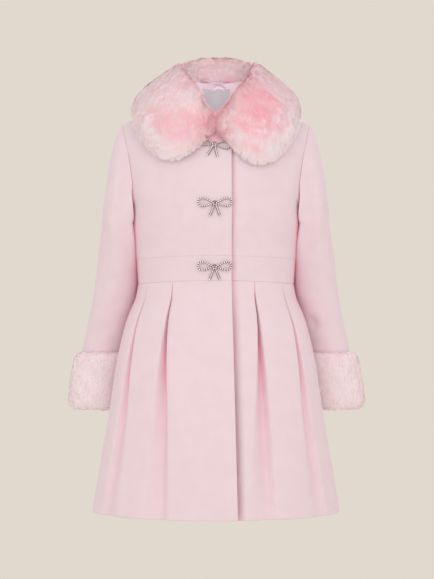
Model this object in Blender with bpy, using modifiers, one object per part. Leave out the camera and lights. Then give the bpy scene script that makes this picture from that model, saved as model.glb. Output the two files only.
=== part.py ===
"""A child's wool coat with a fur collar and fur cuffs, filled out as worn, with no wearer.

Right and left are the wearer's. X runs to the wearer's left, Y to the back and Z up.
The origin is midway between the two points where the neck seam meets the shoulder seams.
Sizes are in millimetres, and MM turns them into metres as each mesh is made.
"""

import bmesh
import bpy
import numpy as np
from mathutils import Matrix, Vector

MM = 0.001
CLOTH = 2.4
SEAM = 0.15
LAP_GAP = 1.3
LINING = 1.0

NECK_X = 52.0
NECK_SIDE_Z = 2.0
NECK_FRONT_DROP = 47.0
NECK_BACK_RISE = 18.0
NECK_BACK_PEAK = 10.0
SHOULDER_X = 140.0
SHOULDER_Z = -42.0
SHOULDER_SLOPE = 0.5
RIDGE_Y = 5.0
RIDGE_RADIUS = 60.0
NECK_RISE = 30.0
UNDERARM_Z = -169.5
BAND_TOP_Z = -244.5
BAND_BOTTOM_Z = -280.5
BAND_RISE = 4.8
HEM_Z = -616.5
LAP_X = 23.0
LAP_HEM_X = 31.5
NECK_SHARE = 0.5
UNDERARM_SHARE = 0.25


def table(names, *rows):
    """Columns of a table by name."""
    return dict(zip(names.split(), np.array(rows, float).T))


BODY = table(
    "drop half_width front back",
    (-40, 152.0, 58, 50),
    (0, 151.0, 63, 70),
    (45, 149.0, 73, 88),
    (110, 138.5, 92, 96),
    (169.5, 130.5, 98, 95),
    (244.5, 119.3, 92, 88),
    (280.5, 116.4, 91, 88),
)
ARMHOLE = table(
    "z front_x back_x",
    (-169.5, 130.5, 130.5),
    (-160, 126.0, 128.5),
    (-147, 123.5, 127.5),
    (-111, 126.0, 130.0),
    (-80, 131.5, 134.0),
    (-42, 140.0, 140.0),
)
SKIRT = table(
    "drop half_width front back side_y back_power",
    (280.5, 116.4, 91, 88, 0, 1.0),
    (300, 119.8, 95, 93, -6, 1.1),
    (327, 130.5, 105, 102, -14, 1.3),
    (386, 145.6, 122, 116, -22, 1.45),
    (470, 158.5, 135, 128, -25, 1.5),
    (567, 175.3, 146, 138, -25, 1.5),
    (616.5, 184.0, 151, 144, -25, 1.5),
)
PLEATS = table(
    "waist_angle hem_angle hem_width depth",
    (-150, -152, 34, 15),
    (-119, -122, 32, 14),
    (-61, -57.5, 30, 13),
    (-33, -29.5, 32, 14),
    (29, 22.5, 30, 14),
    (58, 54.5, 30, 13),
    (119, 122, 32, 14),
    (150, 152, 34, 15),
)
PLEAT_RUN = table(
    "below width_share depth_share",
    (0, 0.06, 0.04),
    (16, 0.07, 0.18),
    (34, 0.10, 0.72),
    (70, 0.20, 0.95),
    (130, 0.50, 1.0),
    (220, 0.85, 1.0),
    (340, 1.0, 1.0),
)
LAP_RUN = table("below recess", (0, 0.0), (20, 1.5), (50, 7.0), (120, 9.5), (340, 11.5))
SLEEVE = table(
    "drop centre_x centre_y half_width half_depth",
    (190, 150.4, 12, 21.2, 48),
    (230, 149.5, 22, 28.5, 46),
    (284, 151.0, 34, 34.5, 43),
    (336, 159.5, 44, 35.0, 40),
    (377, 168.5, 51, 35.0, 37),
    (420, 175.5, 57, 33.0, 34),
    (462, 181.0, 60, 31.0, 32),
)
CUFF = table(
    "drop reach",
    (384, 0.5),
    (380, 8.0),
    (386, 13.5),
    (405, 15.0),
    (440, 15.0),
    (462, 13.5),
    (470, 8.0),
    (468, 0.5),
    (430, 0.5),
)
COLLAR = table(
    "neck_x rim_x rim_z height lift",
    (3, 7, -56, 6, 5.0),
    (11, 18, -74, 17, 5.0),
    (19, 32, -92, 27, 4.5),
    (27, 48, -103, 34, 4.0),
    (35, 66, -105, 39, 3.0),
    (41, 84, -97, 43, 2.5),
    (46, 101, -77, 46, 2.7),
    (50, 114, -52, 48, 3.0),
    (52, 118, -33, 50, 4.4),
    (49, 112, -49, 51, 4.2),
    (42, 96, -57, 50.5, 3.2),
    (26, 56, -62, 47, 3.2),
    (0, 0, -63, 40, 3.2),
)
COLLAR_SIDE_ROW = 8
COLLAR_SECTION = table(
    "along height beyond",
    (0.00, 0.10, 0),
    (0.00, 0.50, -3),
    (0.00, 0.86, -1),
    (0.13, 1.00, 0),
    (0.36, 0.87, 0),
    (0.64, 0.74, 0),
    (0.86, 0.54, 2),
    (0.98, 0.32, 4),
    (1.00, 0.12, 4),
    (0.95, 0.00, 0),
    (0.66, 0.00, 0),
    (0.33, 0.00, 0),
)
BOWS = table(
    "x z tilt_degrees stand",
    (-2.5, -78.5, -9.0, 0.5),
    (-1.5, -164.5, 0.0, 0.1),
    (-2.0, -256.5, 0.0, 0.4),
)
BOW_NAMES = ("bow_top", "bow_middle", "bow_waist")
BOW_THICK = 2.2
BOW_OUTLINE = table(
    "degrees radius",
    (90, 4.6),
    (66, 6.2),
    (45, 9.0),
    (30, 16.5),
    (20, 23.5),
    (8, 26.0),
    (-4, 25.6),
    (-14, 22.5),
    (-22, 15.5),
    (-34, 8.2),
    (-50, 9.6),
    (-58, 18.0),
    (-64, 21.3),
    (-73, 20.0),
    (-80, 11.5),
    (-90, 7.4),
)
BOW_HOLE = table("x z", (7.5, 1.6), (13, 4.6), (19, 6.2), (22.6, 4.0), (22.4, 0.2), (18, -2.6), (12, -0.6))

LABEL_WIDE = 48.0
LABEL_TALL = 30.0
LABEL_TOP_Z = 20.0

COLOURS = {
    "wool_cloth": (0.83, 0.64, 0.67, 1.0),
    "fur": (0.87, 0.72, 0.73, 1.0),
    "satin_lining": (0.66, 0.48, 0.56, 1.0),
    "label_weave": (0.80, 0.78, 0.80, 1.0),
    "metal": (0.78, 0.72, 0.72, 1.0),
}


def smooth(at, knots, values):
    """A cubic through the knots whose slope at each comes from its neighbours."""
    values = np.asarray(values, float)
    slope = np.gradient(values, knots)
    k = np.clip(np.searchsorted(knots, at) - 1, 0, len(knots) - 2)
    span = knots[k + 1] - knots[k]
    t = np.clip((at - knots[k]) / span, 0, 1)
    start = (1 + 2 * t) * values[k] + t * span * slope[k]
    end = (3 - 2 * t) * values[k + 1] + (t - 1) * span * slope[k + 1]
    return (1 - t) ** 2 * start + t**2 * end


def body(name, z):
    """A column of the body table at height z."""
    return smooth(-z, BODY["drop"], BODY[name])


def ridge_z(x):
    """Height of the shoulder line at x, which climbs to the neck."""
    neck = np.clip(1 - (x / NECK_X) ** 2, 0, 1) ** 2
    return SHOULDER_Z + (SHOULDER_X - np.abs(x)) * SHOULDER_SLOPE + NECK_RISE * neck


def form(x, z, face):
    """Points of the figure at (x, z), on the front for face -1 and the back for face 1.

    Each level is an oval. Near the shoulder line the depth closes to a rounded ridge.
    """
    below = ridge_z(x) - z
    closing = np.sqrt(1 - np.clip(1 - below / RIDGE_RADIUS, 0, 1) ** 2)
    oval = np.sqrt(np.clip(1 - (x / body("half_width", z)) ** 2, 0, 1))
    deep = body("back" if face > 0 else "front", z)
    y = face * deep * oval * closing + RIDGE_Y * (1 - closing)
    return np.stack([x, y, z], -1)


def form_normals(x, z, face, step=0.5):
    """Unit normals of the figure at (x, z), facing out."""
    below = np.maximum(ridge_z(x) - z, 0)
    ends = []
    for shift_x, shift in ((step, 0), (-step, 0), (0, step), (0, -step)):
        level = ridge_z(x + shift_x) - np.maximum(below + shift, 0)
        ends.append(form(x + shift_x, level, face))
    normals = np.cross(ends[0] - ends[1], ends[2] - ends[3]) * face
    return normals / np.linalg.norm(normals, axis=-1, keepdims=True)


def grid_normals(points, closed=False):
    """Unit normals of a grid of points, from the differences along its rows and columns."""
    if closed:
        across = np.roll(points, -1, 1) - np.roll(points, 1, 1)
    else:
        across = np.gradient(points, axis=1)
    normals = np.cross(across, np.gradient(points, axis=0))
    return normals / np.linalg.norm(normals, axis=-1, keepdims=True)


def outward(points, centre_y=0.0):
    """Grid normals turned to point away from the body's axis."""
    normals = grid_normals(points)
    away = points * (1, 1, 0) - (0, centre_y, 0)
    return normals * np.sign((normals * away).sum())


def neck_z(x, face):
    """Height of the neckline above x, deep at the front and raised at the back."""
    share = np.clip(np.abs(x) / NECK_X, 0, 1)
    if face < 0:
        return NECK_SIDE_Z - NECK_FRONT_DROP * (1 - share**1.35)
    return NECK_SIDE_Z + NECK_BACK_RISE * (1 - share**2) + NECK_BACK_PEAK * (1 - share**2) ** 3


def band_z(angle, level):
    """Height of a waist seam, which rises towards the centre front."""
    return level + BAND_RISE * np.clip(np.cos(angle), 0, 1) ** 2


def shares(*runs):
    """Shares from 0 to 1 in runs of (end, steps)."""
    found = [0.0]
    for end, steps in runs:
        found.extend(np.linspace(found[-1], end, steps + 1)[1:])
    return np.array(found)


def inner_edge(q, start_x, face):
    """(x, z) up the centre line at start_x, then along the neckline to the shoulder seam."""
    up = np.clip(q / NECK_SHARE, 0, 1)
    along = np.clip((q - NECK_SHARE) / (1 - NECK_SHARE), 0, 1)
    x = start_x + (NECK_X - start_x) * along
    seam = band_z(np.arcsin(start_x / body("half_width", BAND_TOP_Z)), BAND_TOP_Z) if face < 0 else BAND_TOP_Z
    neck = neck_z(np.maximum(x, 0), face)
    top = neck_z(max(start_x, 0), face)
    return x, np.where(q < NECK_SHARE, seam + SEAM + (top - seam - SEAM) * up, neck)


def outer_edge(q, face):
    """(x, z) up the side seam to the underarm, then round the armhole to the shoulder point."""
    up = np.clip(q / UNDERARM_SHARE, 0, 1)
    along = np.clip((q - UNDERARM_SHARE) / (1 - UNDERARM_SHARE), 0, 1)
    seam_z = BAND_TOP_Z + SEAM + (UNDERARM_Z - BAND_TOP_Z - SEAM) * up
    hole_z = UNDERARM_Z + (SHOULDER_Z - UNDERARM_Z) * along**1.25
    hole_x = smooth(hole_z, ARMHOLE["z"], ARMHOLE["front_x" if face < 0 else "back_x"])
    z = np.where(q < UNDERARM_SHARE, seam_z, hole_z)
    return np.where(q < UNDERARM_SHARE, body("half_width", seam_z), hole_x), z


def bodice(q, columns, start_x, face):
    """A bodice panel on the wearer's left, between its inner and its outer edge."""
    x0, z0 = inner_edge(q, start_x, face)
    x1, z1 = outer_edge(q, face)
    angle0 = np.arcsin(np.clip(x0 / body("half_width", z0), -1, 1))
    angle1 = np.arcsin(np.clip(x1 / body("half_width", z1), -1, 1))
    angle = angle0[:, None] + (angle1 - angle0)[:, None] * columns
    share = (np.sin(angle) - np.sin(angle0)[:, None]) / (np.sin(angle1) - np.sin(angle0))[:, None]
    x = x0[:, None] + (x1 - x0)[:, None] * share
    z = z0[:, None] + (z1 - z0)[:, None] * share
    if face < 0:
        z = np.where(q[:, None] == 0, band_z(angle, BAND_TOP_Z) + SEAM, z)
    points = form(np.clip(x, -body("half_width", z), body("half_width", z)), z, face)
    points[-1, :, 1] += face * 4 * SEAM
    points[q <= UNDERARM_SHARE, -1, 1] += face * SEAM
    return points


def under_lap(points, edge_x, depth, run):
    """Points moved in under the lap, coming back to the surface within the run past its edge."""
    share = np.clip((points[..., 0] - edge_x - 1.5) / run, 0, 1)
    ease = 1 - share**2 * (3 - 2 * share)
    return points - outward(points) * (ease * depth)[..., None]


def section(angle, z, name_table):
    """Points of a skirt section: angle 0 is the centre front and 90 degrees the left side."""
    drop = -z
    column = {name: smooth(drop, name_table["drop"], name_table[name]) for name in name_table}
    cosine = np.cos(angle)
    front = (-column["front"] - column["side_y"]) * np.clip(cosine, 0, 1)
    back = (column["back"] - column["side_y"]) * np.clip(-cosine, 0, 1) ** column["back_power"]
    return np.stack([column["half_width"] * np.sin(angle), column["side_y"] + front + back, z], -1)


def pleat_line(k, below):
    """Middle angle of a pleat and half of its opening as an angle, at a distance below the waist."""
    share = np.clip(below / 340, 0, 1)
    middle = np.radians(PLEATS["waist_angle"][k] + (PLEATS["hem_angle"][k] - PLEATS["waist_angle"][k]) * share)
    width = PLEATS["hem_width"][k] * smooth(below, PLEAT_RUN["below"], PLEAT_RUN["width_share"])
    return middle, 0.5 * width / (108 + 52 * share)


def skirt(angle, z, chosen):
    """Skirt points with the chosen pleats pressed in as valleys that open towards the hem."""
    points = section(angle, z, SKIRT)
    below = band_z(angle, BAND_BOTTOM_Z) - z
    inward = np.zeros_like(z)
    for k in chosen:
        middle, half = pleat_line(k, below)
        off = np.clip(np.abs(angle - middle) / half, 0, 1)
        depth = PLEATS["depth"][k] * smooth(below, PLEAT_RUN["below"], PLEAT_RUN["depth_share"])
        inward += depth * np.cos(off * np.pi / 2) ** 2
    plain = outward(section(angle, z, SKIRT), -20)
    return points - plain * (1, 1, 0) * inward[..., None]


def skirt_angles(below, start, end, chosen, gap_steps, pleat_steps):
    """Column angles for each row: a few across each plain strip and a few across each pleat."""
    stations = [(start, None)]
    for k in chosen:
        middle, half = pleat_line(k, below)
        stations += [(middle - half, gap_steps), (middle + half, pleat_steps)]
    stations.append((end, gap_steps))
    columns = [start]
    for (before, _), (after, steps) in zip(stations[:-1], stations[1:]):
        for share in np.linspace(0, 1, steps + 1)[1:]:
            columns.append(before + (after - before) * share)
    return np.stack(columns, -1)


def lap_angle(below):
    """Angle of the lap's edge in the skirt."""
    share = np.clip(below / 340, 0, 1)
    half = smooth(-BAND_BOTTOM_Z + below, SKIRT["drop"], SKIRT["half_width"])
    return np.arcsin((LAP_X + (LAP_HEM_X - LAP_X) * share) / half)


def sleeve_ring(turn, drop):
    """Points of the left sleeve: turn 0 is the outer side and 90 degrees the front."""
    column = {name: smooth(drop, SLEEVE["drop"], SLEEVE[name]) for name in SLEEVE}
    x = column["centre_x"] + column["half_width"] * np.cos(turn)
    y = column["centre_y"] - column["half_depth"] * np.sin(turn)
    return np.stack([x, y, -drop + 0 * turn], -1)


def armhole_loop(turn):
    """Points of the left armhole seam, from the shoulder point round by the front."""
    along = 0.5 * (1 + np.cos(turn))
    found = []
    for face in (-1, 1):
        x, z = outer_edge(UNDERARM_SHARE + (1 - UNDERARM_SHARE) * along**0.8, face)
        found.append(form(x, z, face))
    return np.where((np.sin(turn) >= 0)[:, None], found[0], found[1])


def sleeve_cap(turn, share):
    """The sleeve's head, from the armhole seam to the first full ring."""
    start = armhole_loop(turn)
    end = sleeve_ring(turn, np.full_like(turn, SLEEVE["drop"][0]))
    top = 0.5 * (1 + np.cos(turn))
    leave = np.stack([7 + 38 * top, -12 * np.sin(turn), -10 - 16 * top], -1)
    length = np.linalg.norm(end - start, axis=-1)[:, None]
    arrive = np.stack([0.06 + 0 * turn, 0.12 + 0 * turn, -1 + 0 * turn], -1) * length * 0.9
    s = share[:, None, None]
    moved = start + np.stack([0.9 + 0 * top, 0 * top, -0.4 * top], -1)
    first = (1 + 2 * s) * moved + s * leave
    last = (3 - 2 * s) * end + (s - 1) * arrive
    return (1 - s) ** 2 * first + s**2 * last


def collar_sections(side):
    """Closed sections of one half of the collar, from the front end to the centre back."""
    along, share, beyond = (COLLAR_SECTION[name] for name in ("along", "height", "beyond"))
    found = []
    rows = np.arange(len(COLLAR["neck_x"]), dtype=float)
    for at in np.union1d(np.arange(0, 6), np.arange(6, 12.1, 0.5)):
        neck_x, rim_x, rim_z, height, lift = (smooth(at, rows, COLLAR[name]) for name in COLLAR)
        face = 1 if at > COLLAR_SIDE_ROW else -1
        x = neck_x + (rim_x - neck_x) * along
        top = neck_z(neck_x, face)
        z = top + (rim_z - top) * along
        z = np.minimum(z, ridge_z(x))
        base = form(x, z, face)
        normal = form_normals(x, z, face)
        lean = (0.25 + 0.45 * along)[:, None]
        rise = normal * lean + np.array((0, 0, 1.0)) * (1 - lean)
        rise /= np.linalg.norm(rise, axis=-1, keepdims=True)
        out = base[-4] - base[0]
        out = out / np.linalg.norm(out)
        points = base + normal * lift + rise * (height * share)[:, None] + out * beyond[:, None]
        found.append(points * (side, 1, 1))
    return found


def material(name):
    """One plain material for each kind of stuff."""
    found = bpy.data.materials.get(name)
    if found is None:
        found = bpy.data.materials.new(name)
        found.use_nodes = True
        found.diffuse_color = COLOURS[name]
        found.node_tree.nodes["Principled BSDF"].inputs["Base Color"].default_value = COLOURS[name]
    return found


def place(name, mesh, stuff):
    """A mesh as an object of the coat's collection."""
    mesh.materials.append(material(stuff))
    made = bpy.data.objects.new(name, mesh)
    COAT.objects.link(made)
    return made


def grid_faces(rows, columns, wrap_rows=False, wrap_columns=False):
    """Four-sided faces of a grid, joined up round either way if asked."""
    index = np.arange(rows * columns).reshape(rows, columns)
    if wrap_columns:
        index = np.concatenate([index, index[:, :1]], 1)
    if wrap_rows:
        index = np.concatenate([index, index[:1]], 0)
    corners = (index[:-1, :-1], index[:-1, 1:], index[1:, 1:], index[1:, :-1])
    return np.stack(corners, -1).reshape(-1, 4)


def shell(name, grids, stuff, wall=CLOTH, closed=False, centre=None):
    """A cloth piece: one or more grids of its outer surface, sewn where they meet and thickened inwards."""
    points, faces = [], []
    for grid in grids:
        normals = grid_normals(grid, closed)
        middle = grid.mean((0, 1)) * (0, 0, 1) if centre is None else centre
        found = grid_faces(*grid.shape[:2], wrap_columns=closed) + sum(map(len, points))
        faces.append(found if (normals * (grid - middle)).sum() > 0 else found[:, [0, 3, 2, 1]])
        points.append(grid.reshape(-1, 3))
    mesh = bpy.data.meshes.new(name)
    mesh.from_pydata((np.concatenate(points) * MM).tolist(), [], np.concatenate(faces).tolist())
    sew = bmesh.new()
    sew.from_mesh(mesh)
    bmesh.ops.remove_doubles(sew, verts=sew.verts, dist=0.01 * MM)
    sew.to_mesh(mesh)
    sew.free()
    made = place(name, mesh, stuff)
    thicken = made.modifiers.new("wall", "SOLIDIFY")
    thicken.thickness = wall * MM
    thicken.offset = -1
    return made


def loft(name, sections, stuff, ring=False):
    """A solid through closed sections, either closed on itself as a ring or with filled ends."""
    points = np.stack(sections)
    count, around = points.shape[:2]
    faces = grid_faces(count, around, wrap_rows=ring, wrap_columns=True).tolist()
    if not ring:
        faces.append(list(range(around)))
        faces.append(list(range((count - 1) * around, count * around)))
    mesh = bpy.data.meshes.new(name)
    mesh.from_pydata((points.reshape(-1, 3) * MM).tolist(), [], faces)
    tidy = bmesh.new()
    tidy.from_mesh(mesh)
    bmesh.ops.recalc_face_normals(tidy, faces=tidy.faces)
    tidy.to_mesh(mesh)
    tidy.free()
    return place(name, mesh, stuff)


def make_bodice():
    """Two fronts that lap and one back, each from the waist seam to the shoulder seam."""
    q = np.union1d(shares((0.25, 3), (0.5, 4), (0.9, 6), (1.0, 2)), (0.275, 0.975, 0.993, 0.9992))
    front = shares((0.11, 1), (0.22, 1), (0.985, 5), (1.0, 1))
    right = bodice(q, front, -LAP_X, -1) * (-1, 1, 1)
    shell("bodice_front_right", [right], "wool_cloth")
    left = bodice(q, np.union1d(front, (0.24, 0.30)), -LAP_X, -1)
    depth = CLOTH + LAP_GAP + 1.2 * np.clip((left[..., 2] + 90) / 25, 0, 1)
    shell("bodice_front_left", [under_lap(left, LAP_X, depth, 9.0)], "wool_cloth")
    q = np.union1d(q, (0.40625, 0.46875))
    half = bodice(q, shares((0.36, 3), (0.99, 3), (1.0, 1)), 0.0, 1)
    shell("bodice_back", [half, half * (-1, 1, 1)], "wool_cloth")
    return q, half


def make_waistband():
    """A flat band in three pieces between the bodice and the skirt."""
    lap = np.arcsin(LAP_X / body("half_width", BAND_TOP_Z))
    side = np.pi / 2 - SEAM / 100
    pieces = (
        ("waistband_front_right", -side, lap, 8),
        ("waistband_front_left", -lap, side, 12),
        ("waistband_back", np.pi / 2 + SEAM / 100, 1.5 * np.pi - SEAM / 100, 12),
    )
    for name, start, end, steps in pieces:
        angle = np.union1d(np.linspace(start, end, steps + 1), (start + 0.02, end - 0.02))
        if name == "waistband_front_left":
            angle = np.union1d(np.linspace(-lap, lap, 3), np.linspace(lap + 0.013, lap + 0.11, 3))
            angle = np.union1d(np.union1d(angle, np.linspace(lap + 0.11, side, 5)), side - 0.02)
        if name == "waistband_front_right":
            angle = np.union1d(np.linspace(-lap, lap, 3), np.union1d(np.linspace(start, -lap, 6), start + 0.02))
        levels = np.linspace(0, 1, 4)[:, None]
        top = band_z(angle, BAND_TOP_Z) - SEAM
        low = band_z(angle, BAND_BOTTOM_Z) + SEAM
        z = top + (low - top) * levels
        angle = angle + 0 * z
        face_front = np.cos(angle) >= 0
        x = body("half_width", z) * np.sin(angle)
        points = np.where(face_front[..., None], form(x, z, -1), form(x, z, 1))
        if name == "waistband_front_left":
            points = under_lap(points, LAP_X, CLOTH + LAP_GAP, 9.0)
        shell(name, [points], "wool_cloth")


def make_skirt():
    """Three pleated skirt pieces, of which the left front runs in under the lap."""
    below = np.array((0, 16, 34, 52, 80, 115, 160, 220, 280, 340.0))[:, None]
    side = np.pi / 2 - SEAM / 110
    rows = below[:, 0]
    pieces = (
        ("skirt_front_right", -side + 0 * rows, lap_angle(rows), (2, 3)),
        ("skirt_front_left", -lap_angle(rows), side + 0 * rows, (4, 5)),
        ("skirt_back", np.pi / 2 + SEAM / 110 + 0 * rows, 1.5 * np.pi - SEAM / 110 + 0 * rows, (6, 7, 0, 1)),
    )
    for name, start, end, chosen in pieces:
        if name == "skirt_front_left":
            lap = lap_angle(rows)
            first = [start, start * 0, lap + 0.016, lap + 0.055, lap + 0.105]
            rest = skirt_angles(rows, first[-1], end - 0.02, chosen, 2, 4)
            angle = np.concatenate([np.stack(first[:-1], -1), rest, end[:, None]], 1)
        elif name == "skirt_front_right":
            rest = skirt_angles(rows, start + 0.02, -end, chosen, 2, 4)
            angle = np.concatenate([start[:, None], rest, np.stack([end * 0, end], -1)], 1)
        else:
            turned = PLEATS["waist_angle"] < 0
            keep = PLEATS["waist_angle"].copy(), PLEATS["hem_angle"].copy()
            PLEATS["waist_angle"] = np.where(turned, keep[0] + 360, keep[0])
            PLEATS["hem_angle"] = np.where(turned, keep[1] + 360, keep[1])
            inside = skirt_angles(rows, start + 0.02, end - 0.02, chosen, 2, 4)
            angle = np.concatenate([start[:, None], inside, end[:, None]], 1)
        top = band_z(angle, BAND_BOTTOM_Z) - 2 * SEAM
        z = top + (HEM_Z - top) * below / 340
        points = skirt(angle, z, chosen)
        if name == "skirt_front_left":
            depth = CLOTH + LAP_GAP + smooth(rows, LAP_RUN["below"], LAP_RUN["recess"])[:, None]
            edge = (LAP_X + (LAP_HEM_X - LAP_X) * below / 340) + 0 * angle
            points = under_lap(points, edge, depth, 12.0)
        points[:, [0, -1], 1] += SEAM if name == "skirt_back" else 0
        shell(name, [points], "wool_cloth")
        if name == "skirt_back":
            PLEATS["waist_angle"], PLEATS["hem_angle"] = keep


def make_sleeves():
    """Two tubes from the armhole seam to the wrist, with a fur band round each end."""
    turn = np.linspace(0, 2 * np.pi, 20, endpoint=False)
    cap = sleeve_cap(turn, np.array((0, 0.06, 0.18, 0.36, 0.56, 0.78)))
    drops = np.array((190, 225, 262, 300, 338, 377, 420, 462.0))
    tube = sleeve_ring(turn + 0 * drops[:, None], drops[:, None])
    points = np.concatenate([cap, tube])
    ring = turn[:, None]
    fur = sleeve_ring(ring, CUFF["drop"] + 0 * ring)
    middle = sleeve_ring(ring, CUFF["drop"] + 0 * ring) * 0
    middle[..., 0] = smooth(CUFF["drop"], SLEEVE["drop"], SLEEVE["centre_x"])
    middle[..., 1] = smooth(CUFF["drop"], SLEEVE["drop"], SLEEVE["centre_y"])
    away = (fur - middle) * (1, 1, 0)
    away /= np.linalg.norm(away, axis=-1, keepdims=True)
    fur = fur + away * CUFF["reach"][:, None]
    for name, side in (("left", 1), ("right", -1)):
        flip = (side, 1, 1)
        centre = points.mean(1, keepdims=True) * flip
        shell("sleeve_" + name, [points * flip], "wool_cloth", closed=True, centre=centre)
        loft("cuff_fur_" + name, fur * flip, "fur", ring=True)


def make_collar():
    """One fur solid round the neck, resting on the bodice and open at the front."""
    left = collar_sections(1)
    right = collar_sections(-1)
    loft("collar_fur", right + left[-2::-1], "fur")


def make_neck_pieces(q, half):
    """The lining inside the back neck, the blank label on it and the hanger loop."""
    normals = outward(half)
    normals[half[..., 0] == 0] *= (0, 1, 1)
    lining = (half - normals * (CLOTH + 0.6))[(q > 0.3) & (q < 0.85), :3]
    shell("back_neck_lining", [lining, lining * (-1, 1, 1)], "satin_lining", wall=LINING)
    x = LABEL_WIDE / 2 * np.linspace(-1, 1, 7) + 0 * np.linspace(0, 1, 4)[:, None]
    z = LABEL_TOP_Z - LABEL_TALL * np.linspace(0, 1, 4)[:, None] + 0 * x
    label = form(x, z, 1) - form_normals(x, z, 1) * (CLOTH + LINING + 2.2)
    shell("neck_label", [label], "label_weave", wall=0.6)
    curve = bpy.data.curves.new("hanger_loop", "CURVE")
    curve.dimensions = "3D"
    curve.bevel_depth = 1.1 * MM
    curve.bevel_resolution = 2
    curve.use_fill_caps = True
    curve.resolution_u = 6
    spline = curve.splines.new("POLY")
    arc = np.linspace(0, np.pi, 13)
    base = label[0, 3] + (4.5, -6.0, -2.6)
    spline.points.add(len(arc) - 1)
    for point, angle in zip(spline.points, arc):
        along = base + (7 * np.cos(angle), -1.5 * np.sin(angle), 4.0 * np.sin(angle))
        point.co = (*(along * MM), 1)
    curve.materials.append(material("satin_lining"))
    COAT.objects.link(bpy.data.objects.new("hanger_loop", curve))


def make_bows():
    """Three flat bow fasteners with open loops, cut from one outline and set on the front."""
    angle = np.radians(BOW_OUTLINE["degrees"])
    half = np.stack([np.cos(angle), np.sin(angle)], -1) * BOW_OUTLINE["radius"][:, None]
    outline = np.concatenate([half, half[-2:0:-1] * (-1, 1)])
    hole = np.stack([BOW_HOLE["x"], BOW_HOLE["z"]], -1)
    for name, x, z, tilt, stand in zip(BOW_NAMES, *BOWS.values()):
        curve = bpy.data.curves.new(name, "CURVE")
        curve.dimensions = "2D"
        curve.fill_mode = "BOTH"
        curve.extrude = BOW_THICK / 2 * MM
        for loop in (outline, hole, hole * (-1, 1)):
            spline = curve.splines.new("POLY")
            spline.use_cyclic_u = True
            spline.points.add(len(loop) - 1)
            for point, (right, up) in zip(spline.points, loop):
                point.co = (right * MM, up * MM, 0, 1)
        curve.materials.append(material("metal"))
        made = bpy.data.objects.new(name, curve)
        COAT.objects.link(made)
        lower, middle, upper = form(np.array((x, x, x)), np.array((z - 9, z, z + 9)), -1)
        up = Vector(upper - lower).normalized()
        out = Vector((1, 0, 0)).cross(up).normalized()
        turn = Matrix((Vector((1, 0, 0)), up, out)).transposed()
        spin = Matrix.Rotation(np.radians(tilt), 3, "Z")
        made.matrix_world = Matrix.Translation(
            (Vector(middle) + out * (BOW_THICK / 2 + stand)) * MM
        ) @ (turn @ spin).to_4x4()


for thing in list(bpy.data.objects):
    bpy.data.objects.remove(thing)
COAT = bpy.data.collections.new("fur_collar_coat")
bpy.context.scene.collection.children.link(COAT)
back_half = make_bodice()
make_waistband()
make_skirt()
make_sleeves()
make_collar()
make_neck_pieces(*back_half)
make_bows()
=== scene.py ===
# %% [markdown]
# # A child's wool coat with a fur collar
# The coat is shown filled out, as on an invisible figure. Its parts are those a maker sews: fronts, back,
# waistband, pleated skirt, sleeves, fur collar and cuffs, a lined neck and bow fasteners. The packed
# model gives their places, and each step below builds one of them again as fine cloth, fur or metal.

import bmesh
import bpy
import numpy as np
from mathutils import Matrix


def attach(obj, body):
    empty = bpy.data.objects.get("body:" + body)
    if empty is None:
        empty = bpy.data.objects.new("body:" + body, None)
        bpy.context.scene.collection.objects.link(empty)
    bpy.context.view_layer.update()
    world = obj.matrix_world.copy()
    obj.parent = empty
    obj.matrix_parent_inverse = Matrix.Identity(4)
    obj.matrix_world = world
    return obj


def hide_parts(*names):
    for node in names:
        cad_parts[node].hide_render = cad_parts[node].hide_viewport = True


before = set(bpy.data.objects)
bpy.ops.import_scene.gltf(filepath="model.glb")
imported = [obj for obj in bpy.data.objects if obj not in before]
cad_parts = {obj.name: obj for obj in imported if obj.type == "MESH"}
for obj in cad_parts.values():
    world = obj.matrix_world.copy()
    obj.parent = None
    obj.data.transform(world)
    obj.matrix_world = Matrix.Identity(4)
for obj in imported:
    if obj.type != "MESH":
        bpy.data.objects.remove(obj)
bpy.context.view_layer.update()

# %% [markdown]
# ## Colours and nodes
# Colours are written as the sRGB hex values that a picture shows, and Blender's shaders want linear
# light. One function converts them. One more adds any node with its settings and fills its inputs with
# values or links, so that a material reads as a short list.

# %% Colour and node helpers
MM = 0.001


def linear(code):
    """sRGB hex to linear: divide by 12.92 near black, else ((c + 0.055) / 1.055) to the power 2.4."""
    c = np.array([int(code[i:i + 2], 16) for i in (1, 3, 5)]) / 255
    return (*np.where(c < 0.04045, c / 12.92, ((c + 0.055) / 1.055) ** 2.4).tolist(), 1.0)


def fill(made, inputs):
    """Sets a node's inputs to values, or links them to other nodes' outputs."""
    for key, value in inputs.items():
        if isinstance(value, bpy.types.NodeSocket):
            made.id_data.links.new(value, made.inputs[key])
        else:
            made.inputs[key].default_value = value


def node(tree, kind, inputs=None, **settings):
    """Adds one node of any kind, with its properties and its inputs."""
    made = tree.nodes.new(kind)
    for key, value in settings.items():
        setattr(made, key, value)
    fill(made, inputs or {})
    return made


def stops(ramp, colours):
    """Sets a colour ramp's stops from a dictionary of positions, in rising order, and hex colours."""
    elements = ramp.color_ramp.elements
    for _ in range(len(colours) - len(elements)):
        elements.new(0.5)
    for element, (position, code) in zip(elements, colours.items()):
        element.position = position
        element.color = linear(code)


def blank(name):
    """A new material with its node tree and its shader."""
    made = bpy.data.materials.new(name)
    made.use_nodes = True
    return made, made.node_tree, made.node_tree.nodes["Principled BSDF"]


def per_metre(size_mm):
    """Texture scale that gives a feature of this size, since Object coordinates are in metres."""
    return 1000 / size_mm


print("white is", linear("#FFFFFF"))

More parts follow.
